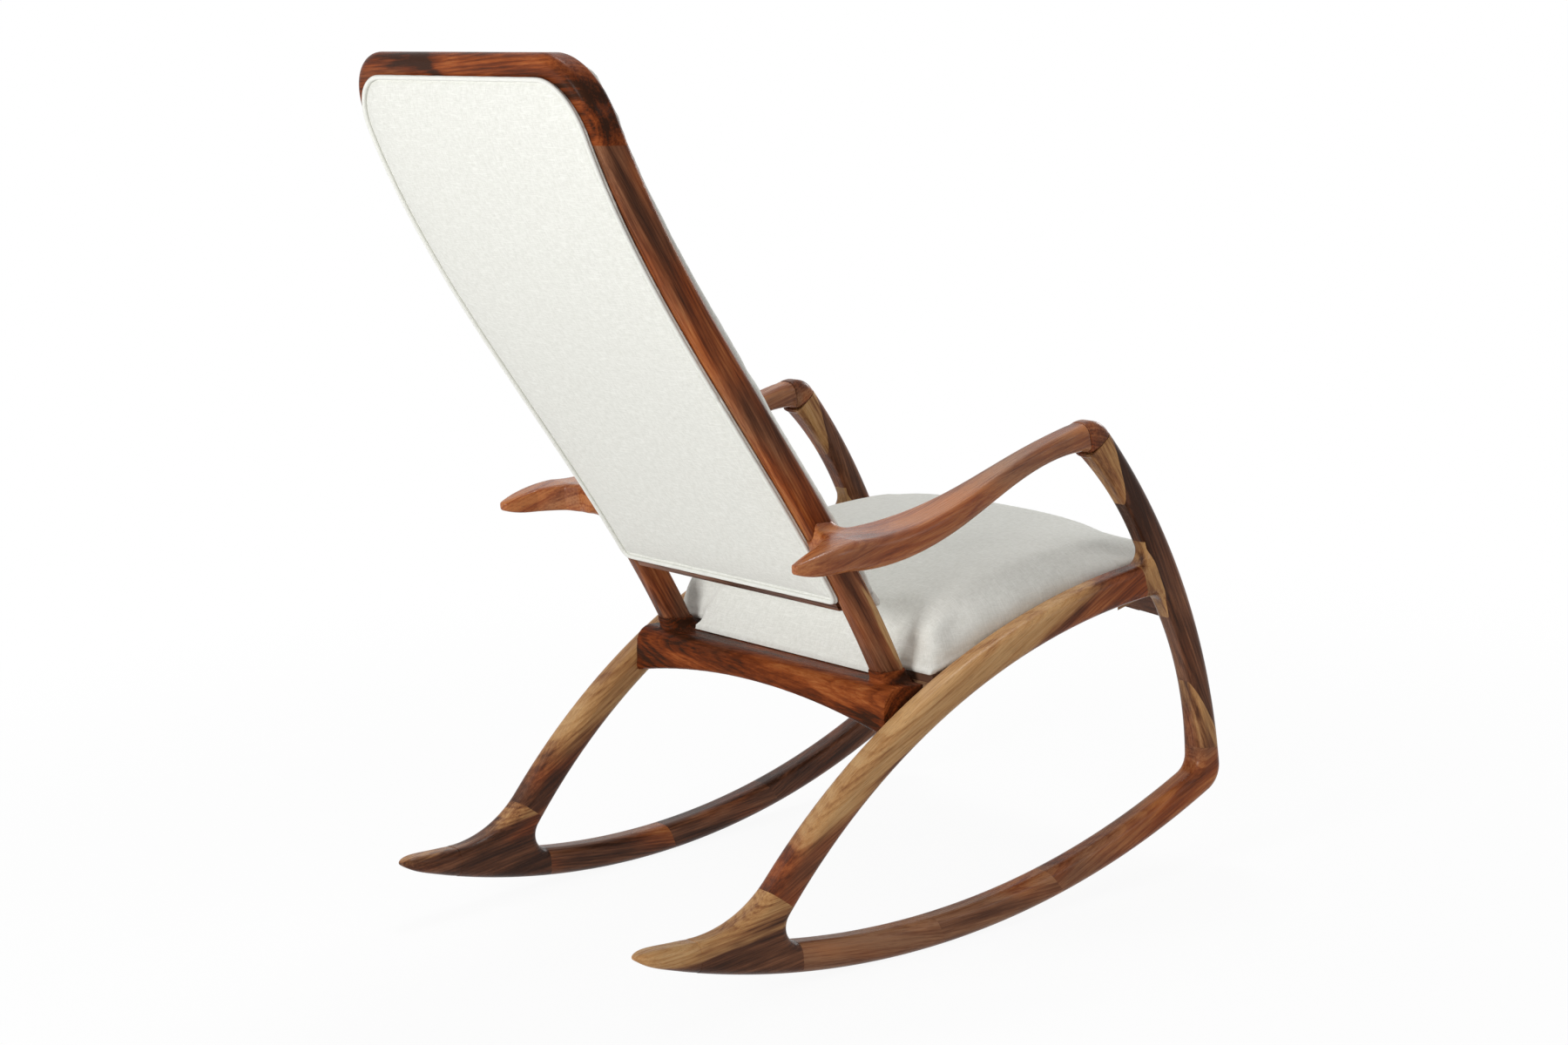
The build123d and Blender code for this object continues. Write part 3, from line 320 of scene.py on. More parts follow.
# ---- walnut ------------------------------------------------------------------------------
def principal_axes(obj):
    """Middle and axes of a piece: its length, its depth in side view and its width across."""
    points = coordinates(obj.data).astype(float)
    middle = (points.min(0) + points.max(0)) / 2
    spread = points - points.mean(0)
    _, vectors = np.linalg.eigh(spread.T @ spread)
    along = Vector(vectors[:, 2])
    if along.z + 0.2 * along.y < 0:
        along = -along
    across = Vector((1, 0, 0)) if abs(along.x) < 0.7 else Vector((0, 1, 0))
    across = (across - along * across.dot(along)).normalized()
    depth = across.cross(along).normalized()
    if depth.z < 0:
        depth = -depth
    return Vector(middle), along, depth, across


def walnut(name, obj, heart=(-0.06, 0.02), tilt=(2.0, 0.0), sap=None, sap_width=0.010,
           warmth=0.45, darkness=PLAIN_DARKNESS, gloss=1.0, shades=(), seed=0.0):
    """Oiled walnut, cut from a log whose heart runs beside the piece.

    heart is the heart's distance from the middle of the piece, in its depth and across,
    tilt the angles in degrees between grain and piece, and sap the log's radius at which the
    pale sapwood starts. gloss is a share of the plain one. shades are darker or lighter
    stretches: an axis, where along it, half their length and how much the tone changes."""
    g = Graph(name)
    middle, along, depth, across = principal_axes(obj)
    lean = (along + depth * sin(radians(tilt[0])) + across * sin(radians(tilt[1]))).normalized()
    side = across.cross(lean).normalized()
    turn = Matrix((side.cross(lean).normalized(), side, lean)).transposed()
    place = middle + depth * heart[0] + across * heart[1]
    coords = g.node("ShaderNodeTexCoord", out=3)
    log = g.node("ShaderNodeMapping", coords, vector_type="TEXTURE", Location=place,
                 Rotation=turn.to_euler())
    moved = g.vector("ADD", log, (0.0, 0.0, seed))

    def in_log(squeeze, scale, detail, roughness=0.5, out=0):
        """A noise that is drawn out along the grain."""
        return g.noise(g.scaled(moved, 1, 1, squeeze), scale, detail, roughness, out)

    wandered = log
    for squeeze, scale, detail, reach in WANDERINGS:
        drift = g.vector("SUBTRACT", in_log(squeeze, scale, detail, out=1), NOISE_MIDDLE)
        wandered = g.vector("ADD", wandered, g.scaled(drift, reach, reach, 0.0))
    radius = g.vector("LENGTH", g.scaled(wandered, 1, 1, 0), out=1)

    phase = g.math("FRACT", g.math("DIVIDE", radius, RING_SPACING))
    late = g.math("MULTIPLY", g.ease(phase, *LATE_WOOD), g.ease(phase, 1.0, LATE_WOOD[1]))
    lengthwise = g.math("MULTIPLY", g.node("ShaderNodeSeparateXYZ", moved, out=2), BAND_TAPER)
    band = g.noise(g.node("ShaderNodeCombineXYZ", radius, seed, lengthwise), *BAND)
    figure, cloud, streak, fibre, pore = (
        in_log(*noise) for noise in (FIGURE, CLOUD, STREAK, FIBRE, PORE))
    pores = g.ease(pore, *PORE_MASK)

    tone = g.total(*zip(TONE_WEIGHTS, (band, figure, streak, fibre, cloud)))
    late = g.math("MULTIPLY", late, g.ease(cloud, *LATE_CLOUDS, *LATE_WEIGHT))
    tone = g.math("SUBTRACT", tone, late)
    tone = g.math("ADD", tone, DARKNESS_WEIGHT * (PLAIN_DARKNESS - darkness) + TONE_SHIFT)
    bent = g.math("MULTIPLY", g.math("SUBTRACT", figure, 0.5), SHADE_BEND)
    shade = 0.0
    for axis, centre, half, change in shades:
        away = g.math("SUBTRACT", g.node("ShaderNodeSeparateXYZ", coords, out=axis), centre)
        away = g.math("ABSOLUTE", g.math("ADD", away, bent))
        shade = g.math("ADD", g.ease(away, 0.0, half, change, 0.0), shade)
    tone = g.math("ADD", tone, shade)
    red = g.ease(cloud, *(level - WARMTH_WEIGHT * warmth for level in RED_CLOUDS))
    colour = g.mix(red, g.ramp(tone, *BROWN_HEARTWOOD), g.ramp(tone, *RED_HEARTWOOD))
    if sap is not None:
        edge = g.total((1.0, radius), *zip(SAP_WANDER, (figure, band)))
        edge = g.math("ADD", edge, g.math("MULTIPLY", shade, SHADE_ON_SAP))
        edge = g.math("SUBTRACT", edge, sum(SAP_WANDER) / 2)
        mask = g.ease(edge, sap - sap_width / 2, sap + sap_width / 2)
        colour = g.mix(mask, colour, g.ramp(tone, *SAPWOOD))
    colour = g.mix(g.math("MULTIPLY", pores, PORE_DARKNESS), colour, HEART_DARK)

    g.set(Base_Color=colour, Specular_IOR_Level=WOOD_SPECULAR * gloss)
    g.set(Roughness=g.ease(g.total((1.0, streak), (0.4, pores)), 0.2, 1.1, *WOOD_ROUGHNESS))
    height = g.math("SUBTRACT", g.math("MULTIPLY", fibre, FIBRE_RELIEF), pores)
    g.set(Normal=g.node("ShaderNodeBump", Strength=WOOD_BUMP, Distance=PORE_DEPTH, Height=height))
    return g.material


# ---- linen -------------------------------------------------------------------------------
def weave(g, u, v, seed):
    """Height and tone of a plain weave with uneven threads, over two coordinates in metres."""
    place = g.node("ShaderNodeCombineXYZ", u, v, seed)
    scale, reach = THREAD_DRIFT
    drift = g.vector("SUBTRACT", g.noise(place, scale, out=1), NOISE_MIDDLE)
    bent = g.vector("ADD", place, g.scaled(drift, reach, reach, 0.0))
    across = g.noise(g.scaled(bent, THREAD_SQUEEZE, 1, 1), *THREAD)
    down = g.noise(g.scaled(bent, 1, THREAD_SQUEEZE, 1), *THREAD)
    slub = g.noise(g.scaled(bent, SLUB_SQUEEZE, 1, 1), *SLUB)
    sides = (g.node("ShaderNodeSeparateXYZ", bent, out=i) for i in range(2))
    waves = (g.math("SINE", g.math("MULTIPLY", side, 2 * pi / THREAD_PITCH)) for side in sides)
    cross = g.math("MULTIPLY", *waves)
    tone = g.total((0.5, across), (0.5, down), (SLUB_WEIGHT, g.ease(slub, *SLUB_MASK)))
    height = g.total((CROSSING_RELIEF, cross), (1.0, across), (1.0, down))
    return tone, height


def linen(name, axes=None, seed=0.0, dark=LINEN_DARK):
    """Off-white linen blend. axes are the piece's own three directions, if it isn't level."""
    g = Graph(name)

    def blend(share, a, b):
        """Number a made to run into number b."""
        return g.math("ADD", g.math("MULTIPLY", a, g.math("SUBTRACT", 1.0, share)),
                      g.math("MULTIPLY", b, share))

    coords = g.node("ShaderNodeTexCoord", out=3)
    normal = g.node("ShaderNodeTexCoord", out=1)
    if axes is not None:
        turn = Matrix(axes).transposed().to_euler()
        coords = g.node("ShaderNodeMapping", coords, vector_type="TEXTURE", Rotation=turn)
        normal = g.node("ShaderNodeMapping", normal, vector_type="TEXTURE", Rotation=turn)
    x, y, z = (g.node("ShaderNodeSeparateXYZ", coords, out=i) for i in range(3))
    nx, ny = (g.math("ABSOLUTE", g.node("ShaderNodeSeparateXYZ", normal, out=i)) for i in range(2))
    top_tone, top_height = weave(g, x, y, seed)
    side_tone, side_height = weave(g, z, y, seed + 1)
    front_tone, front_height = weave(g, x, z, seed + 2)
    to_side = g.ease(nx, *FACE_BLEND)
    to_front = g.ease(ny, *FACE_BLEND)
    tone = blend(to_front, blend(to_side, top_tone, side_tone), front_tone)
    height = blend(to_front, blend(to_side, top_height, side_height), front_height)
    mottle = g.noise(coords, *MOTTLE)
    fuzz = g.noise(coords, *FUZZ)
    shade = g.ease(g.total((1.0, tone), (0.35, mottle), (0.25, fuzz)), 0.58, 1.02)
    g.set(Base_Color=g.mix(shade, dark, LINEN_LIGHT))
    g.set(Roughness=0.92, Specular_IOR_Level=0.15, Sheen_Weight=0.12, Sheen_Roughness=0.6)
    g.set(Normal=g.node("ShaderNodeBump", Strength=LINEN_BUMP, Distance=LINEN_DEPTH,
                        Height=g.total((1.0, height), (0.4, fuzz))))
    return g.material


def sawn_wood(name, light, dark, scale=GRAIN_UPRIGHT):
    """Plain planed wood of the hidden joinery and boards."""
    g = Graph(name)
    coords = g.node("ShaderNodeTexCoord", out=3)
    grain = g.noise(g.scaled(coords, *scale), 12.0, 4.0, 0.6)
    streak = g.noise(g.scaled(coords, *(s * 6 for s in scale)), 20.0, 2.0)
    tone = g.ease(g.total((0.7, grain), (0.3, streak)), 0.3, 0.7)
    g.set(Base_Color=g.mix(tone, dark, light), Roughness=g.ease(streak, 0.2, 0.8, 0.55, 0.75))
    g.set(Normal=g.node("ShaderNodeBump", Strength=0.2, Distance=0.0004, Height=streak))
    return g.material


def zinc(name):
    """Zinc-plated steel of the seat screws."""
    g = Graph(name)
    spots = g.noise(g.node("ShaderNodeTexCoord", out=3), 700.0, 3.0)
    g.set(Base_Color=g.mix(g.ease(spots, 0.3, 0.7), ZINC_DARK, ZINC_LIGHT), Metallic=1.0)
    g.set(Roughness=g.ease(spots, 0.2, 0.8, 0.30, 0.48))
    return g.material


def dress(obj, material):
    """Gives a piece one material."""
    obj.data.materials.clear()
    obj.data.materials.append(material)


# ---- mesh helpers ------------------------------------------------------------------------
def coordinates(mesh):
    """The vertices of a mesh as an array."""
    flat = np.empty(len(mesh.vertices) * 3, np.float32)
    mesh.vertices.foreach_get("co", flat)
    return flat.reshape(-1, 3)


def triangles_of(mesh):
    """The triangles of a mesh as an array of vertex numbers."""
    mesh.calc_loop_triangles()
    flat = np.empty(len(mesh.loop_triangles) * 3, np.int32)
    mesh.loop_triangles.foreach_get("vertices", flat)
    return flat.reshape(-1, 3).astype(np.uint32)


def new_piece(name, points, faces):
    """A mesh object from arrays of points and faces."""
    mesh = bpy.data.meshes.new(name)
    mesh.from_pydata(points.tolist(), [], faces.tolist())
    mesh.update()
    piece = bpy.data.objects.new(name, mesh)
    bpy.context.scene.collection.objects.link(piece)
    return piece


def solid_tree(node):
    """A CAD solid, ready to be measured by rays and nearest points."""
    mesh = nodes[node].data
    return BVHTree.FromPolygons([v.co for v in mesh.vertices], [p.vertices for p in mesh.polygons])


def applied(obj, kind, **settings):
    """The object with one modifier applied to its mesh."""
    modifier = obj.modifiers.new("step", kind)
    for key, value in settings.items():
        setattr(modifier, key, value)
    graph = bpy.context.evaluated_depsgraph_get()
    mesh = bpy.data.meshes.new_from_object(obj.evaluated_get(graph))
    obj.modifiers.remove(modifier)
    obj.data = mesh
    return obj


def remesh(obj, size):
    """Evens out a closed mesh."""
    return applied(obj, "REMESH", mode="VOXEL", voxel_size=size, use_smooth_shade=True)


# ---- distance fields ---------------------------------------------------------------------
class Block:
    """A box of voxels in which solids are rounded, joined and cut by their distance fields."""

    def __init__(self, points, voxel, reach):
        self.voxel = voxel
        self.reach = reach
        self.transform = openvdb.createLinearTransform(voxelSize=voxel)
        margin = reach + 2 * voxel
        start = np.floor((points.min(0) - margin) / voxel).astype(int)
        end = np.ceil((points.max(0) + margin) / voxel).astype(int)
        self.start = tuple(int(v) for v in start)
        self.shape = tuple(int(v) for v in end - start)

    def distance(self, points, triangles=None, quads=None):
        """Signed distance to a closed surface, no larger than the block's reach."""
        grid = openvdb.FloatGrid.createLevelSetFromPolygons(
            points, triangles=triangles, quads=quads, transform=self.transform,
            halfWidth=self.reach / self.voxel)
        field = np.empty(self.shape, np.float32)
        grid.copyToArray(field, ijk=self.start)
        return field

    def heights(self, place, up):
        """Height of every voxel over a plane."""
        sums = 0
        for axis, (count, start) in enumerate(zip(self.shape, self.start)):
            run = ((np.arange(count) + start) * self.voxel - place[axis]) * up[axis]
            sums = sums + run.reshape([-1 if i == axis else 1 for i in range(3)])
        return sums

    def surface(self, field, level=0.0):
        """Points and quads of the surface at a distance."""
        grid = openvdb.FloatGrid(float(self.reach))
        grid.transform = self.transform
        grid.copyFromArray(field, ijk=self.start)
        return grid.convertToQuads(isovalue=level)


def outwards(points, quads):
    """The quads, turned so that they look outwards."""
    a, b, c, d = (points[quads[:, i]] for i in range(4))
    volume = np.einsum("ij,ij->", (a + b + c + d) / 4, np.cross(c - a, d - b))
    return quads if volume > 0 else quads[:, ::-1]


def joined(a, b, blend):
    """Two distance fields joined with a hollow fillet."""
    near = np.maximum(blend - np.abs(a - b), 0) / blend
    return np.minimum(a, b) - near * near * blend / 4


def opened(name, node, radius, voxel):
    """A copy of a CAD solid with every outer edge rounded."""
    mesh = nodes[node].data
    block = Block(coordinates(mesh), voxel, radius + 2 * voxel)
    field = block.distance(coordinates(mesh), triangles=triangles_of(mesh))
    points, quads = block.surface(field, -radius)
    field = block.distance(points, quads=quads)
    points, quads = block.surface(field, radius)
    return new_piece(name, points, outwards(points, quads))


def mellow(field, times):
    """A field blurred a little."""
    for _ in range(times):
        for axis in range(3):
            field = (np.roll(field, 1, axis) + 2 * field + np.roll(field, -1, axis)) / 4
    return field


def plan_distance(outline, x, y):
    """Signed distance from a convex outline in plan, anticlockwise, below zero inside it."""
    result = np.full(np.broadcast(x, y).shape, -np.inf)
    for (ax, ay), (bx, by) in zip(outline, np.roll(outline, -1, axis=0)):
        length = np.hypot(bx - ax, by - ay)
        result = np.maximum(result, ((x - ax) * (by - ay) - (y - ay) * (bx - ax)) / length)
    return result


def cut_cove(block, field, side):
    """Cuts the cove behind a stile out of its arm, so that a horn is left outside it."""
    stile = solid_tree(f"{side}_stile")
    sign = -1 if side == "right" else 1
    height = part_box(f"{side}_arm")[0][2] + COVE_HEIGHT
    rear, _, _, _ = stile.ray_cast(Vector((sign * COVE_STILE, FAR_OUTSIDE, height)),
                                   Vector((0, -1, 0)))
    outer, _, _, _ = stile.ray_cast(
        Vector((sign * FAR_OUTSIDE, rear.y - COVE_STILE_DEPTH, height)), Vector((-sign, 0, 0)))
    outline = [(abs(outer.x) + out, rear.y + back) for back, out in COVE_OUTLINE]
    x, y = (np.arange(n) + s for n, s in zip(block.shape[:2], block.start[:2]))
    x = np.abs(x[:, None] * block.voxel)
    cut = plan_distance(np.array(outline), x, y[None] * block.voxel) - COVE_ROUNDING
    cut = -np.clip(cut, -block.reach, block.reach)[:, :, None]
    near = np.maximum(COVE_EASING - np.abs(field - cut), 0) / COVE_EASING
    return (np.maximum(field, cut) + near * near * COVE_EASING / 4).astype(np.float32)


def sculpted(pieces, blend, into, sweep, finish=None):
    """Copies of touching CAD solids without a step at their joint.

    They also run with a hollow fillet into the neighbours, whose shape stays as it is."""
    points = np.vstack([coordinates(nodes[name].data) for name in pieces])
    block = Block(points, WOOD_VOXEL, max(blend, sweep, JOINT_EASE) + 2 * WOOD_VOXEL)

    def distance(name):
        mesh = nodes[name].data
        return block.distance(coordinates(mesh), triangles=triangles_of(mesh))

    own = [distance(name) for name in pieces]
    field = own[0]
    for other in own[1:]:
        field = joined(field, other, blend)
        near = np.clip(1 - np.maximum(np.abs(own[0]), np.abs(other)) / JOINT_EASE, 0, 1)
        field = field + (mellow(field, JOINT_SMOOTHING) - field) * np.minimum(near * 2, 1)
    for name in into:
        neighbour = distance(name)
        field = np.maximum(joined(field, neighbour, sweep) + FILLET_SKIN, -neighbour)
    if finish is not None:
        field = finish(block, field)
    made = []
    for index, name in enumerate(pieces):
        part = field
        for other_index, other in enumerate(own):
            if other_index != index:
                part = np.maximum(part, (own[index] - other) / 2)
        points, quads = block.surface(part)
        made.append(new_piece(f"{name}_sculpted", points, outwards(points, quads)))
    return made


# ---- soft goods --------------------------------------------------------------------------
def seat_form(name):
    """The seat cushion before it is filled, and its underside as a point and a direction up."""
    mesh = nodes["seat_cushion"].data
    low = [face for face in mesh.polygons if face.normal.z < SEAT_UNDER_SLOPE]
    area = sum(face.area for face in low)
    middle = sum((face.center * face.area for face in low), Vector()) / area
    up = -sum((face.normal * face.area for face in low), Vector()).normalized()

    block = Block(coordinates(mesh), SEAT_FORM_VOXEL, SEAT_EDGE + 2 * SEAT_FORM_VOXEL)
    field = block.distance(coordinates(mesh), triangles=triangles_of(mesh))
    forms = []
    for radius in (SEAT_LOW_EDGE, SEAT_EDGE):
        points, quads = block.surface(field, -radius)
        forms.append(block.distance(points, quads=quads) - radius)
    plane = (np.array(middle), np.array(up))
    rise = block.heights(*plane)
    share = np.clip((rise - SEAT_LOW[0]) / (SEAT_LOW[1] - SEAT_LOW[0]), 0, 1)
    share = share * share * (3 - 2 * share)
    points, quads = block.surface((forms[0] * (1 - share) + forms[1] * share).astype(np.float32))
    return new_piece(name, points, outwards(points, quads)), plane


def footed(name, obj, plane):
    """The filled cushion, joined with the lowest layer of its CAD solid."""
    mesh = nodes["seat_cushion"].data
    points = np.vstack([coordinates(obj.data), coordinates(mesh)])
    block = Block(points, SEAT_FOOT_VOXEL, SEAT_FOOT_REACH)
    soft = block.distance(coordinates(obj.data), triangles=triangles_of(obj.data))
    foot = block.distance(coordinates(mesh), triangles=triangles_of(mesh))
    foot = np.maximum(foot, block.heights(*plane) - SEAT_FOOT)
    field = joined(soft, foot, SEAT_FOOT_SWEEP).astype(np.float32)
    points, quads = block.surface(field)
    return new_piece(name, points, outwards(points, quads))


def inflate(obj, pressure, frames, cap, still=None):
    """Blows a closed cover up as its filling does; no point moves further than the cap."""
    start = coordinates(obj.data)
    cloth = obj.modifiers.new("cloth", "CLOTH")
    fabric = cloth.settings
    if still is not None:
        group = obj.vertex_groups.new(name="still")
        group.add(np.flatnonzero(still).tolist(), 1.0, "REPLACE")
        fabric.vertex_group_mass = "still"
    for key, value in COVER_CLOTH.items():
        setattr(fabric, key, value)
    fabric.uniform_pressure_force = pressure
    fabric.effector_weights.gravity = 0
    cloth.point_cache.frame_start = 1
    cloth.point_cache.frame_end = frames
    for number in range(1, frames + 1):
        bpy.context.scene.frame_set(number)
    graph = bpy.context.evaluated_depsgraph_get()
    end = coordinates(obj.evaluated_get(graph).data)
    obj.modifiers.remove(cloth)
    bpy.context.scene.frame_set(1)
    step = end - start
    length = np.maximum(np.linalg.norm(step, axis=1), 1e-9)
    moved = start + step * np.minimum(1, cap / length)[:, None]
    obj.data.vertices.foreach_set("co", moved.astype(np.float32).ravel())
    obj.data.update()


def kept_inside(obj, node, slack):
    """Draws back what stands further outside a CAD solid than slack(normal) allows."""
    solid = solid_tree(node)
    for vertex in obj.data.vertices:
        near, normal, _, _ = solid.find_nearest(vertex.co)
        outside = (vertex.co - near).dot(normal)
        allowed = slack(normal)
        if outside > allowed:
            vertex.co -= normal * (outside - allowed)
    obj.data.update()


def hull(points):
    """The convex outline of points in a plane, anticlockwise."""
    points = sorted(set(map(tuple, np.round(points, 6))))
    chains = []
    for run in (points, points[::-1]):
        chain = []
        for p in run:
            while len(chain) > 1:
                (ax, ay), (bx, by) = chain[-2], chain[-1]
                if (bx - ax) * (p[1] - ay) - (by - ay) * (p[0] - ax) > 0:
                    break
                chain.pop()
            chain.append(p)
        chains += chain[:-1]
    return np.array(chains)


def outline_of(node, step):
    """The outline of a panel in front elevation, as evenly spaced points."""
    corners = hull(coordinates(node.data)[:, [0, 2]])
    corners = np.vstack([corners, corners[:1]])
    runs = np.linalg.norm(np.diff(corners, axis=0), axis=1)
    places = np.concatenate([[0], np.cumsum(runs)])
    count = int(places[-1] / step)
    spots = np.arange(count) * places[-1] / count
    return np.stack([np.interp(spots, places, corners[:, i]) for i in range(2)], axis=1)


def edge_distance(points, rim):
    """Distance of points in front elevation from a closed outline, and its nearest place."""
    nearest = np.full(len(points), np.inf)
    place = np.zeros(len(points))
    for start in range(0, len(points), BATCH):
        part = points[start:start + BATCH]
        gaps = np.linalg.norm(part[:, None] - rim[None], axis=2)
        nearest[start:start + BATCH] = gaps.min(1)
        place[start:start + BATCH] = gaps.argmin(1)
    return nearest, place


def drawn_in(points):
    """Points of the rear panel's cover, which its seams draw in a little from the CAD solid."""
    low, high = (np.array(corner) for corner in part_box("back_panel"))
    middle, half = (low + high) / 2, (high - low) / 2
    up = np.array(BACK_UP)
    height = (points - middle) @ up / (half[2] / up[2])
    moved = points - up * (height * PANEL_DRAWN[1])[:, None]
    moved[:, 0] -= PANEL_DRAWN[0] * (points[:, 0] - middle[0]) / half[0]
    return moved


def panel_faces():
    """Depth of the rear panel's front and rear faces over the height, as polynomials."""
    solid = solid_tree("back_panel")
    low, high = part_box("back_panel")
    heights = np.linspace(low[2] + PANEL_MARGIN, high[2] - PANEL_MARGIN, PANEL_PROBES)
    fits = []
    for start, ahead in ((-FAR_OUTSIDE, 1.0), (2 * FAR_OUTSIDE, -1.0)):
        hits = [solid.ray_cast(Vector((0.0, start, z)), Vector((0.0, ahead, 0.0)))[0]
                for z in heights]
        fits.append(np.polyfit(heights, [hit.y for hit in hits], 3))
    return fits


def panel_cover(name, rim):
    """The rear panel: padding that swells inside a sewn line beside the piping."""
    obj = opened(name, "back_panel", PANEL_EDGE, PANEL_VOXEL)
    remesh(obj, PANEL_MESH)
    mesh = obj.data
    points = coordinates(mesh)
    inside, place = edge_distance(points[:, [0, 2]], rim)
    front, back = (np.polyval(face, points[:, 2]) for face in panel_faces())
    rear = np.clip((points[:, 1] - front) / (back - front), 0, 1)
    past_seam = inside - SEAM_INSET
    padding = np.exp(-np.maximum(past_seam, 0) / PANEL_SWELL_RUN)
    seam = SEAM_DEPTH * np.exp(-(past_seam / SEAM_WIDTH) ** 2)
    spacing, drift, strength = PUCKER_WAVE
    length = place * PIPING_STEP
    wave = np.sin(length / spacing + strength * np.sin(length / drift))
    pucker = PUCKER_DEPTH * wave * np.exp(-((past_seam - PUCKER_RUN) / PUCKER_RUN) ** 2)
    rise = rear * (PANEL_SWELL * (1 - padding) - PANEL_DROP * padding - seam + pucker)
    moved = drawn_in(points + np.array(PANEL_OUT) * rise[:, None])
    mesh.vertices.foreach_set("co", moved.astype(np.float32).ravel())
    mesh.update()
    return applied(obj, "SMOOTH", factor=0.5, iterations=1)


def piping_cord(name, rim):
    """The covered cord along the rear panel's edge, with the lap of its two ends."""
    ahead = np.roll(rim, -1, axis=0) - np.roll(rim, 1, axis=0)
    ahead /= np.linalg.norm(ahead, axis=1)[:, None]
    line = rim + np.stack([-ahead[:, 1], ahead[:, 0]], axis=1) * PIPING_RADIUS
    for _ in range(PIPING_SMOOTHING):
        line = (np.roll(line, 1, axis=0) + np.roll(line, -1, axis=0) + 2 * line) / 4
    centres = np.stack([line[:, 0], np.polyval(panel_faces()[1], line[:, 1]), line[:, 1]], axis=1)
    along = np.roll(centres, -1, axis=0) - np.roll(centres, 1, axis=0)
    along /= np.linalg.norm(along, axis=1)[:, None]
    rear = np.array(PANEL_OUT)
    aside = np.cross(along, rear)
    aside /= np.linalg.norm(aside, axis=1)[:, None]
    up = np.cross(aside, along)
    count = len(centres)
    length = np.arange(count) * PIPING_STEP
    lap = length - count * PIPING_LAP * PIPING_STEP
    swell, swell_run = LAP_SWELL
    gap, gap_run, gap_place = LAP_GAP
    radius = PIPING_RADIUS * (1 + swell * np.exp(-(lap / swell_run) ** 2)
                              - gap * np.exp(-((lap - gap_place) / gap_run) ** 2))
    radius = radius * (1 + PIPING_WAVE[0] * np.sin(length / PIPING_WAVE[1]))
    ring = (np.arange(PIPING_SIDES) * 2 * pi / PIPING_SIDES)[None, :, None]
    points = (centres[:, None] + rear * PIPING_RISE + radius[:, None, None]
              * (np.cos(ring) * aside[:, None] + np.sin(ring) * up[:, None]))
    index = np.arange(count * PIPING_SIDES).reshape(count, PIPING_SIDES)
    after = np.roll(index, -1, axis=0)
    quads = np.stack([index, after, np.roll(after, -1, axis=1), np.roll(index, -1, axis=1)], axis=2)
    points = drawn_in(points.reshape(-1, 3))
    quads = quads.reshape(-1, 4)
    return new_piece(name, points, outwards(points, quads))


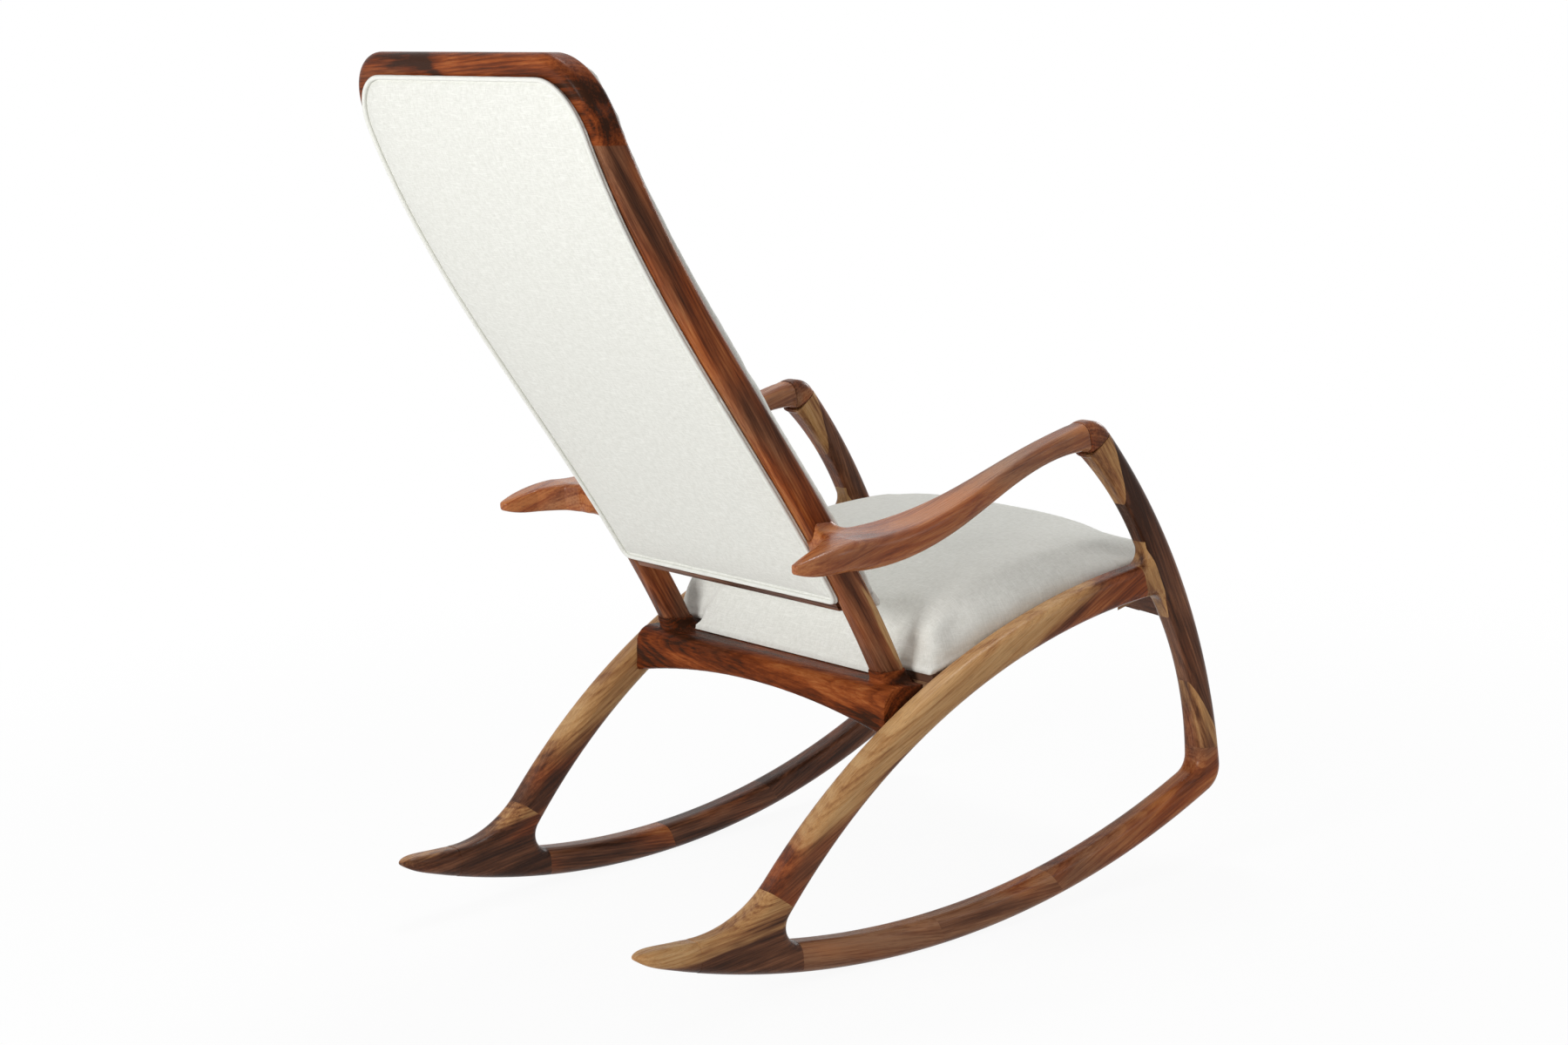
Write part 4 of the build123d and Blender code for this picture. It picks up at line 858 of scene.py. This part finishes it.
# ---- the frame ---------------------------------------------------------------------------
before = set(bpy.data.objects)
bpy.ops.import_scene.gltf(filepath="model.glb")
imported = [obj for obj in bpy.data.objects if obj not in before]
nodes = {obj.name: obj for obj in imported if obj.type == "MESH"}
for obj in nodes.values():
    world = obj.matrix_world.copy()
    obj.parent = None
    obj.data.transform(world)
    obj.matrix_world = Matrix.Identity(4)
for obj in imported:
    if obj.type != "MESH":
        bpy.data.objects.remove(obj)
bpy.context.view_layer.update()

# How each visible wooden piece is cut: see walnut().
CUTS = {
    "crest_rail": dict(
        heart=(-0.05, 0.03), tilt=(3, 2), warmth=1.0, darkness=0.70, gloss=0.3,
        # The shade at x -0.22, by the crest's near corner, is a painted highlight: it lightens the
        # wood where its satin finish catches the light.
        shades=((0, 0.060, 0.022, -0.12), (0, 0.015, 0.04, 0.05), (0, -0.22, 0.09, 0.05),
                (0, 0.17, 0.09, 0.06)),
        seed=3.1),
    "right_stile": dict(
        heart=(-0.07, 0.02), tilt=(1, 1), sap=0.105, sap_width=0.005, warmth=0.60, darkness=0.38,
        gloss=0.6, shades=((2, 0.36, 0.18, 0.035),), seed=1.7),
    "left_stile": dict(
        heart=(-0.06, -0.03), tilt=(1, -1), warmth=0.40, darkness=0.40, gloss=0.6, seed=2.2),
    "back_bottom_rail": dict(heart=(-0.05, 0.02), warmth=0.30, darkness=0.45, seed=4.4),
    "rear_seat_rail": dict(
        heart=(-0.05, -0.035), tilt=(4, 5), warmth=1.0, darkness=0.40, gloss=0.15,
        shades=((0, 0.25, 0.22, -0.12), (0, -0.235, 0.05, -0.05)), seed=5.3),
    "front_seat_rail": dict(heart=(-0.06, 0.03), warmth=0.45, darkness=0.40, seed=6.1),
    "right_arm": dict(
        heart=(-0.075, 0.03), tilt=(2, 3), warmth=0.72, darkness=0.08, gloss=1.8, seed=7.7),
    "left_arm": dict(
        heart=(-0.075, -0.03), tilt=(2, -3), warmth=0.55, darkness=0.12, gloss=1.8, seed=8.2),
    "right_side_rail": dict(
        heart=(-0.10, 0.01), tilt=(1, 1), sap=0.132, sap_width=0.026, warmth=0.80, darkness=0.26,
        shades=((1, 0.29, 0.14, -0.045), (1, -0.36, 0.16, -0.03)), seed=9.4),
    "left_side_rail": dict(
        heart=(-0.10, -0.01), tilt=(1, -1), sap=0.135, sap_width=0.026, warmth=0.65,
        darkness=0.36, shades=((1, 0.29, 0.14, -0.045), (1, -0.36, 0.16, -0.03)), seed=10.9),
    "right_front_leg": dict(
        heart=(-0.08, 0.02), tilt=(1, 1), warmth=0.30, darkness=0.45, seed=11.3),
    "left_front_leg": dict(
        heart=(-0.08, -0.02), tilt=(1, -1), warmth=0.30, darkness=0.40, seed=12.8),
    "right_knuckle": dict(heart=(-0.05, 0.02), warmth=0.55, darkness=0.35, seed=13.5),
    "left_knuckle": dict(heart=(-0.05, -0.02), warmth=0.45, darkness=0.40, seed=14.1),
    "right_rocker_tail": dict(
        heart=(-0.09, 0.02), tilt=(-9, 1), sap=0.104, warmth=0.30, darkness=0.48, seed=15.6),
    "left_rocker_tail": dict(
        heart=(-0.09, -0.02), tilt=(-9, -1), sap=0.125, warmth=0.25, darkness=0.65, seed=16.2),
    "right_rocker_rear": dict(
        heart=(-0.09, 0.02), tilt=(2, 1), warmth=0.35, darkness=0.0, seed=17.9),
    "left_rocker_rear": dict(
        heart=(-0.09, -0.02), tilt=(2, -1), warmth=0.30, darkness=0.40, seed=18.3),
    "right_rocker_middle": dict(
        heart=(-0.08, 0.03), tilt=(3, 1), warmth=0.40, darkness=0.02, seed=19.7),
    "left_rocker_middle": dict(
        heart=(-0.08, -0.03), tilt=(3, -1), warmth=0.25, darkness=0.55, seed=20.5),
    "right_rocker_front": dict(
        heart=(-0.08, 0.02), tilt=(2, 2), warmth=0.45, darkness=0.18, seed=21.2),
    "left_rocker_front": dict(
        heart=(-0.08, -0.02), tilt=(2, -2), warmth=0.25, darkness=0.60, seed=22.6),
}
for name in ("leg_top_block", "leg_rail_block", "leg_foot_block"):
    for index, side in enumerate(("right", "left")):
        CUTS[f"{side}_{name}"] = dict(
            heart=(-0.03, 0.02), tilt=(3, 2), sap=0.036, sap_width=0.02, warmth=0.45,
            darkness=0.47, seed=30.0 + len(name) + 5 * index)

for name, cut in CUTS.items():
    dress(nodes[name], walnut(f"walnut_{name}", nodes[name], **cut))
dress(nodes["back_board"], sawn_wood("birch_ply_back", *BIRCH_PLY))
dress(nodes["seat_board"], sawn_wood("walnut_ply_seat", *WALNUT_PLY, GRAIN_ACROSS))
joinery = sawn_wood("beech_joinery", *BEECH)
blocks = sawn_wood("corner_block_wood", *BLOCK_WOOD)
for name in ("side_frame_tenons", "back_tenons", "arm_dowels", "seat_rail_dowels"):
    dress(nodes[name], joinery)
for side in ("right", "left"):
    for end in ("front", "rear"):
        dress(nodes[f"{side}_{end}_corner_block"], blocks)
dress(nodes["seat_screws"], zinc("zinc_plated_steel"))

seat_linen = linen("linen_seat", seed=1.0)
back_axes = ((1.0, 0.0, 0.0), BACK_UP, BACK_REAR)
back_linen = linen("linen_back", axes=back_axes, seed=5.0)
# The piping's linen is painted lighter than the panel's, as a highlight on the raised cord.
piping_linen = linen("linen_piping", axes=back_axes, seed=8.0, dark=PIPING_DARK_WITH_HIGHLIGHT)


def finished(piece, material, node):
    """Gives a piece its material and its place in the chair."""
    dress(piece, material)
    for polygon in piece.data.polygons:
        polygon.use_smooth = True
    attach(piece, "root")
    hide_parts(node)


# ---- seat cushion and back pad ----
def seat_slack(normal):
    """How far the cushion may stand out of its CAD solid: on top, behind and elsewhere."""
    if normal.z > TOP_SLOPE:
        return SEAT_SWELL
    return SEAT_BULGE if normal.y > REAR_SLOPE else 0.0


def crowned(obj, rise):
    """Lifts the middle of the cushion's top and lets its front corners fall away."""
    points = coordinates(obj.data)
    low, high = points.min(0), points.max(0)
    across = 2 * (points[:, 0] - low[0]) / (high[0] - low[0]) - 1
    along = (points[:, 1] - low[1]) / (high[1] - low[1])
    top = np.clip((rise - SEAT_TOP[0]) / SEAT_TOP[1], 0, 1)
    crown = SEAT_CROWN * (1 - across ** 2) * np.sin(pi * np.clip(along, 0, 1))
    corner = np.exp(-((1 - np.abs(across)) / SEAT_CORNER[0]) ** 2 - (along / SEAT_CORNER[1]) ** 2)
    points[:, 2] += top * (crown - SEAT_CORNER_DROP * corner)
    obj.data.vertices.foreach_set("co", points.ravel())
    obj.data.update()


def rise_over(plane, obj):
    """The rise of a piece's points over a plane."""
    return (coordinates(obj.data) - plane[0]) @ plane[1]


filled, underside = seat_form("seat_filling")
remesh(filled, SEAT_MESH)
inflate(filled, SEAT_PRESSURE, SEAT_FRAMES, SEAT_CAP, rise_over(underside, filled) < SEAT_PIN)
kept_inside(filled, "seat_cushion", seat_slack)
crowned(filled, rise_over(underside, filled))
applied(filled, "SMOOTH", factor=0.5, iterations=SEAT_SMOOTHING)
applied(filled, "SUBSURF", levels=1)
seat = footed("seat_cushion_linen", filled, underside)
bpy.data.objects.remove(filled)
finished(seat, seat_linen, "seat_cushion")

pad = opened("back_pad_linen", "back_pad", PAD_EDGE, PAD_VOXEL)
remesh(pad, SEAT_MESH)
inflate(pad, PAD_PRESSURE, PAD_FRAMES, PAD_CAP)
kept_inside(pad, "back_pad", lambda normal: PAD_SWELL if normal.y < -TOP_SLOPE else 0.0)
applied(pad, "SMOOTH", factor=0.5, iterations=PAD_SMOOTHING)
applied(pad, "SUBSURF", levels=1)
finished(pad, back_linen, "back_pad")

# ---- rear panel and its piping ----
rim = outline_of(nodes["back_panel"], PIPING_STEP)
panel = panel_cover("back_panel_linen", rim)
finished(panel, back_linen, "back_panel")
piping = piping_cord("back_panel_piping", rim)
finished(piping, piping_linen, "back_panel_welt")


# ---- arms, knuckles and rear seat rail, sculpted into each other and the stiles ----
def dressed_sculpture(names, pieces):
    """Puts sculpted pieces in the place of their CAD nodes, whose wood they keep."""
    for name, piece in zip(names, pieces):
        finished(piece, nodes[name].data.materials[0], name)


for side in ("right", "left"):
    pair = (f"{side}_arm", f"{side}_knuckle")
    dressed_sculpture(pair, sculpted(pair, KNUCKLE_SWEEP, (f"{side}_stile",), ARM_SWEEP,
                                     lambda block, field: cut_cove(block, field, side)))
dressed_sculpture(("rear_seat_rail",), sculpted(("rear_seat_rail",), KNUCKLE_SWEEP,
                                                ("right_stile", "left_stile"), RAIL_SWEEP))

# ---- camera ------------------------------------------------------------------------------
camera = bpy.data.objects.new("camera", bpy.data.cameras.new("camera"))
bpy.context.scene.collection.objects.link(camera)
camera.data.lens = CAMERA_LENS
camera.data.sensor_width = 36.0
camera.data.clip_end = 50.0
turn = Matrix((CAMERA_RIGHT, CAMERA_UP, [-v for v in CAMERA_AHEAD])).transposed()
camera.matrix_world = Matrix.Translation(CAMERA_PLACE) @ turn.to_4x4()
bpy.context.scene.camera = camera

# ---- stage -------------------------------------------------------------------------------
floor_mesh = bpy.data.meshes.new("floor")
corners = [(x * FLOOR_HALF, y * FLOOR_HALF, 0.0) for x, y in ((-1, -1), (1, -1), (1, 1), (-1, 1))]
floor_mesh.from_pydata(corners, [], [(0, 1, 2, 3)])
floor = bpy.data.objects.new("floor", floor_mesh)
bpy.context.scene.collection.objects.link(floor)
g = Graph("floor_white")
g.set(Base_Color=FLOOR_COLOUR, Roughness=0.9, Specular_IOR_Level=0.1)
white = g.node("ShaderNodeEmission", WHITE, 1.0)
away = g.vector("LENGTH", g.node("ShaderNodeTexCoord", out=3), out=1)
share = g.math("MULTIPLY", g.seen(), g.ease(away, *SHADOW_EDGE, FLOOR_WHITE, 1.0))
mixed = g.node("ShaderNodeMixShader", share, g.shader.outputs[0], white)
g.tree.links.new(mixed, g.tree.nodes["Material Output"].inputs["Surface"])
dress(floor, g.material)

# Studio light from all round. The backdrop is white, and lights the room at a plain level.
world = bpy.data.worlds.new("world")
world.use_nodes = True
bpy.context.scene.world = world
g = Graph.of(world)
background = g.tree.nodes["Background"]
background.inputs["Color"].default_value = WHITE
strength = g.node("ShaderNodeMapRange", g.seen(), 0.0, 1.0, ROOM_LIGHT, 1.0)
g.put(background.inputs["Strength"], strength)

for name, (place, aim, size, power) in SOFTBOXES.items():
    lamp = bpy.data.lights.new(name, "AREA")
    lamp.shape = "RECTANGLE"
    lamp.size, lamp.size_y = size
    lamp.energy = power
    softbox = bpy.data.objects.new(name, lamp)
    bpy.context.scene.collection.objects.link(softbox)
    softbox.location = place
    softbox.rotation_euler = (Vector(aim) - Vector(place)).to_track_quat("-Z", "Y").to_euler()

bpy.context.scene.view_settings.view_transform = "Standard"
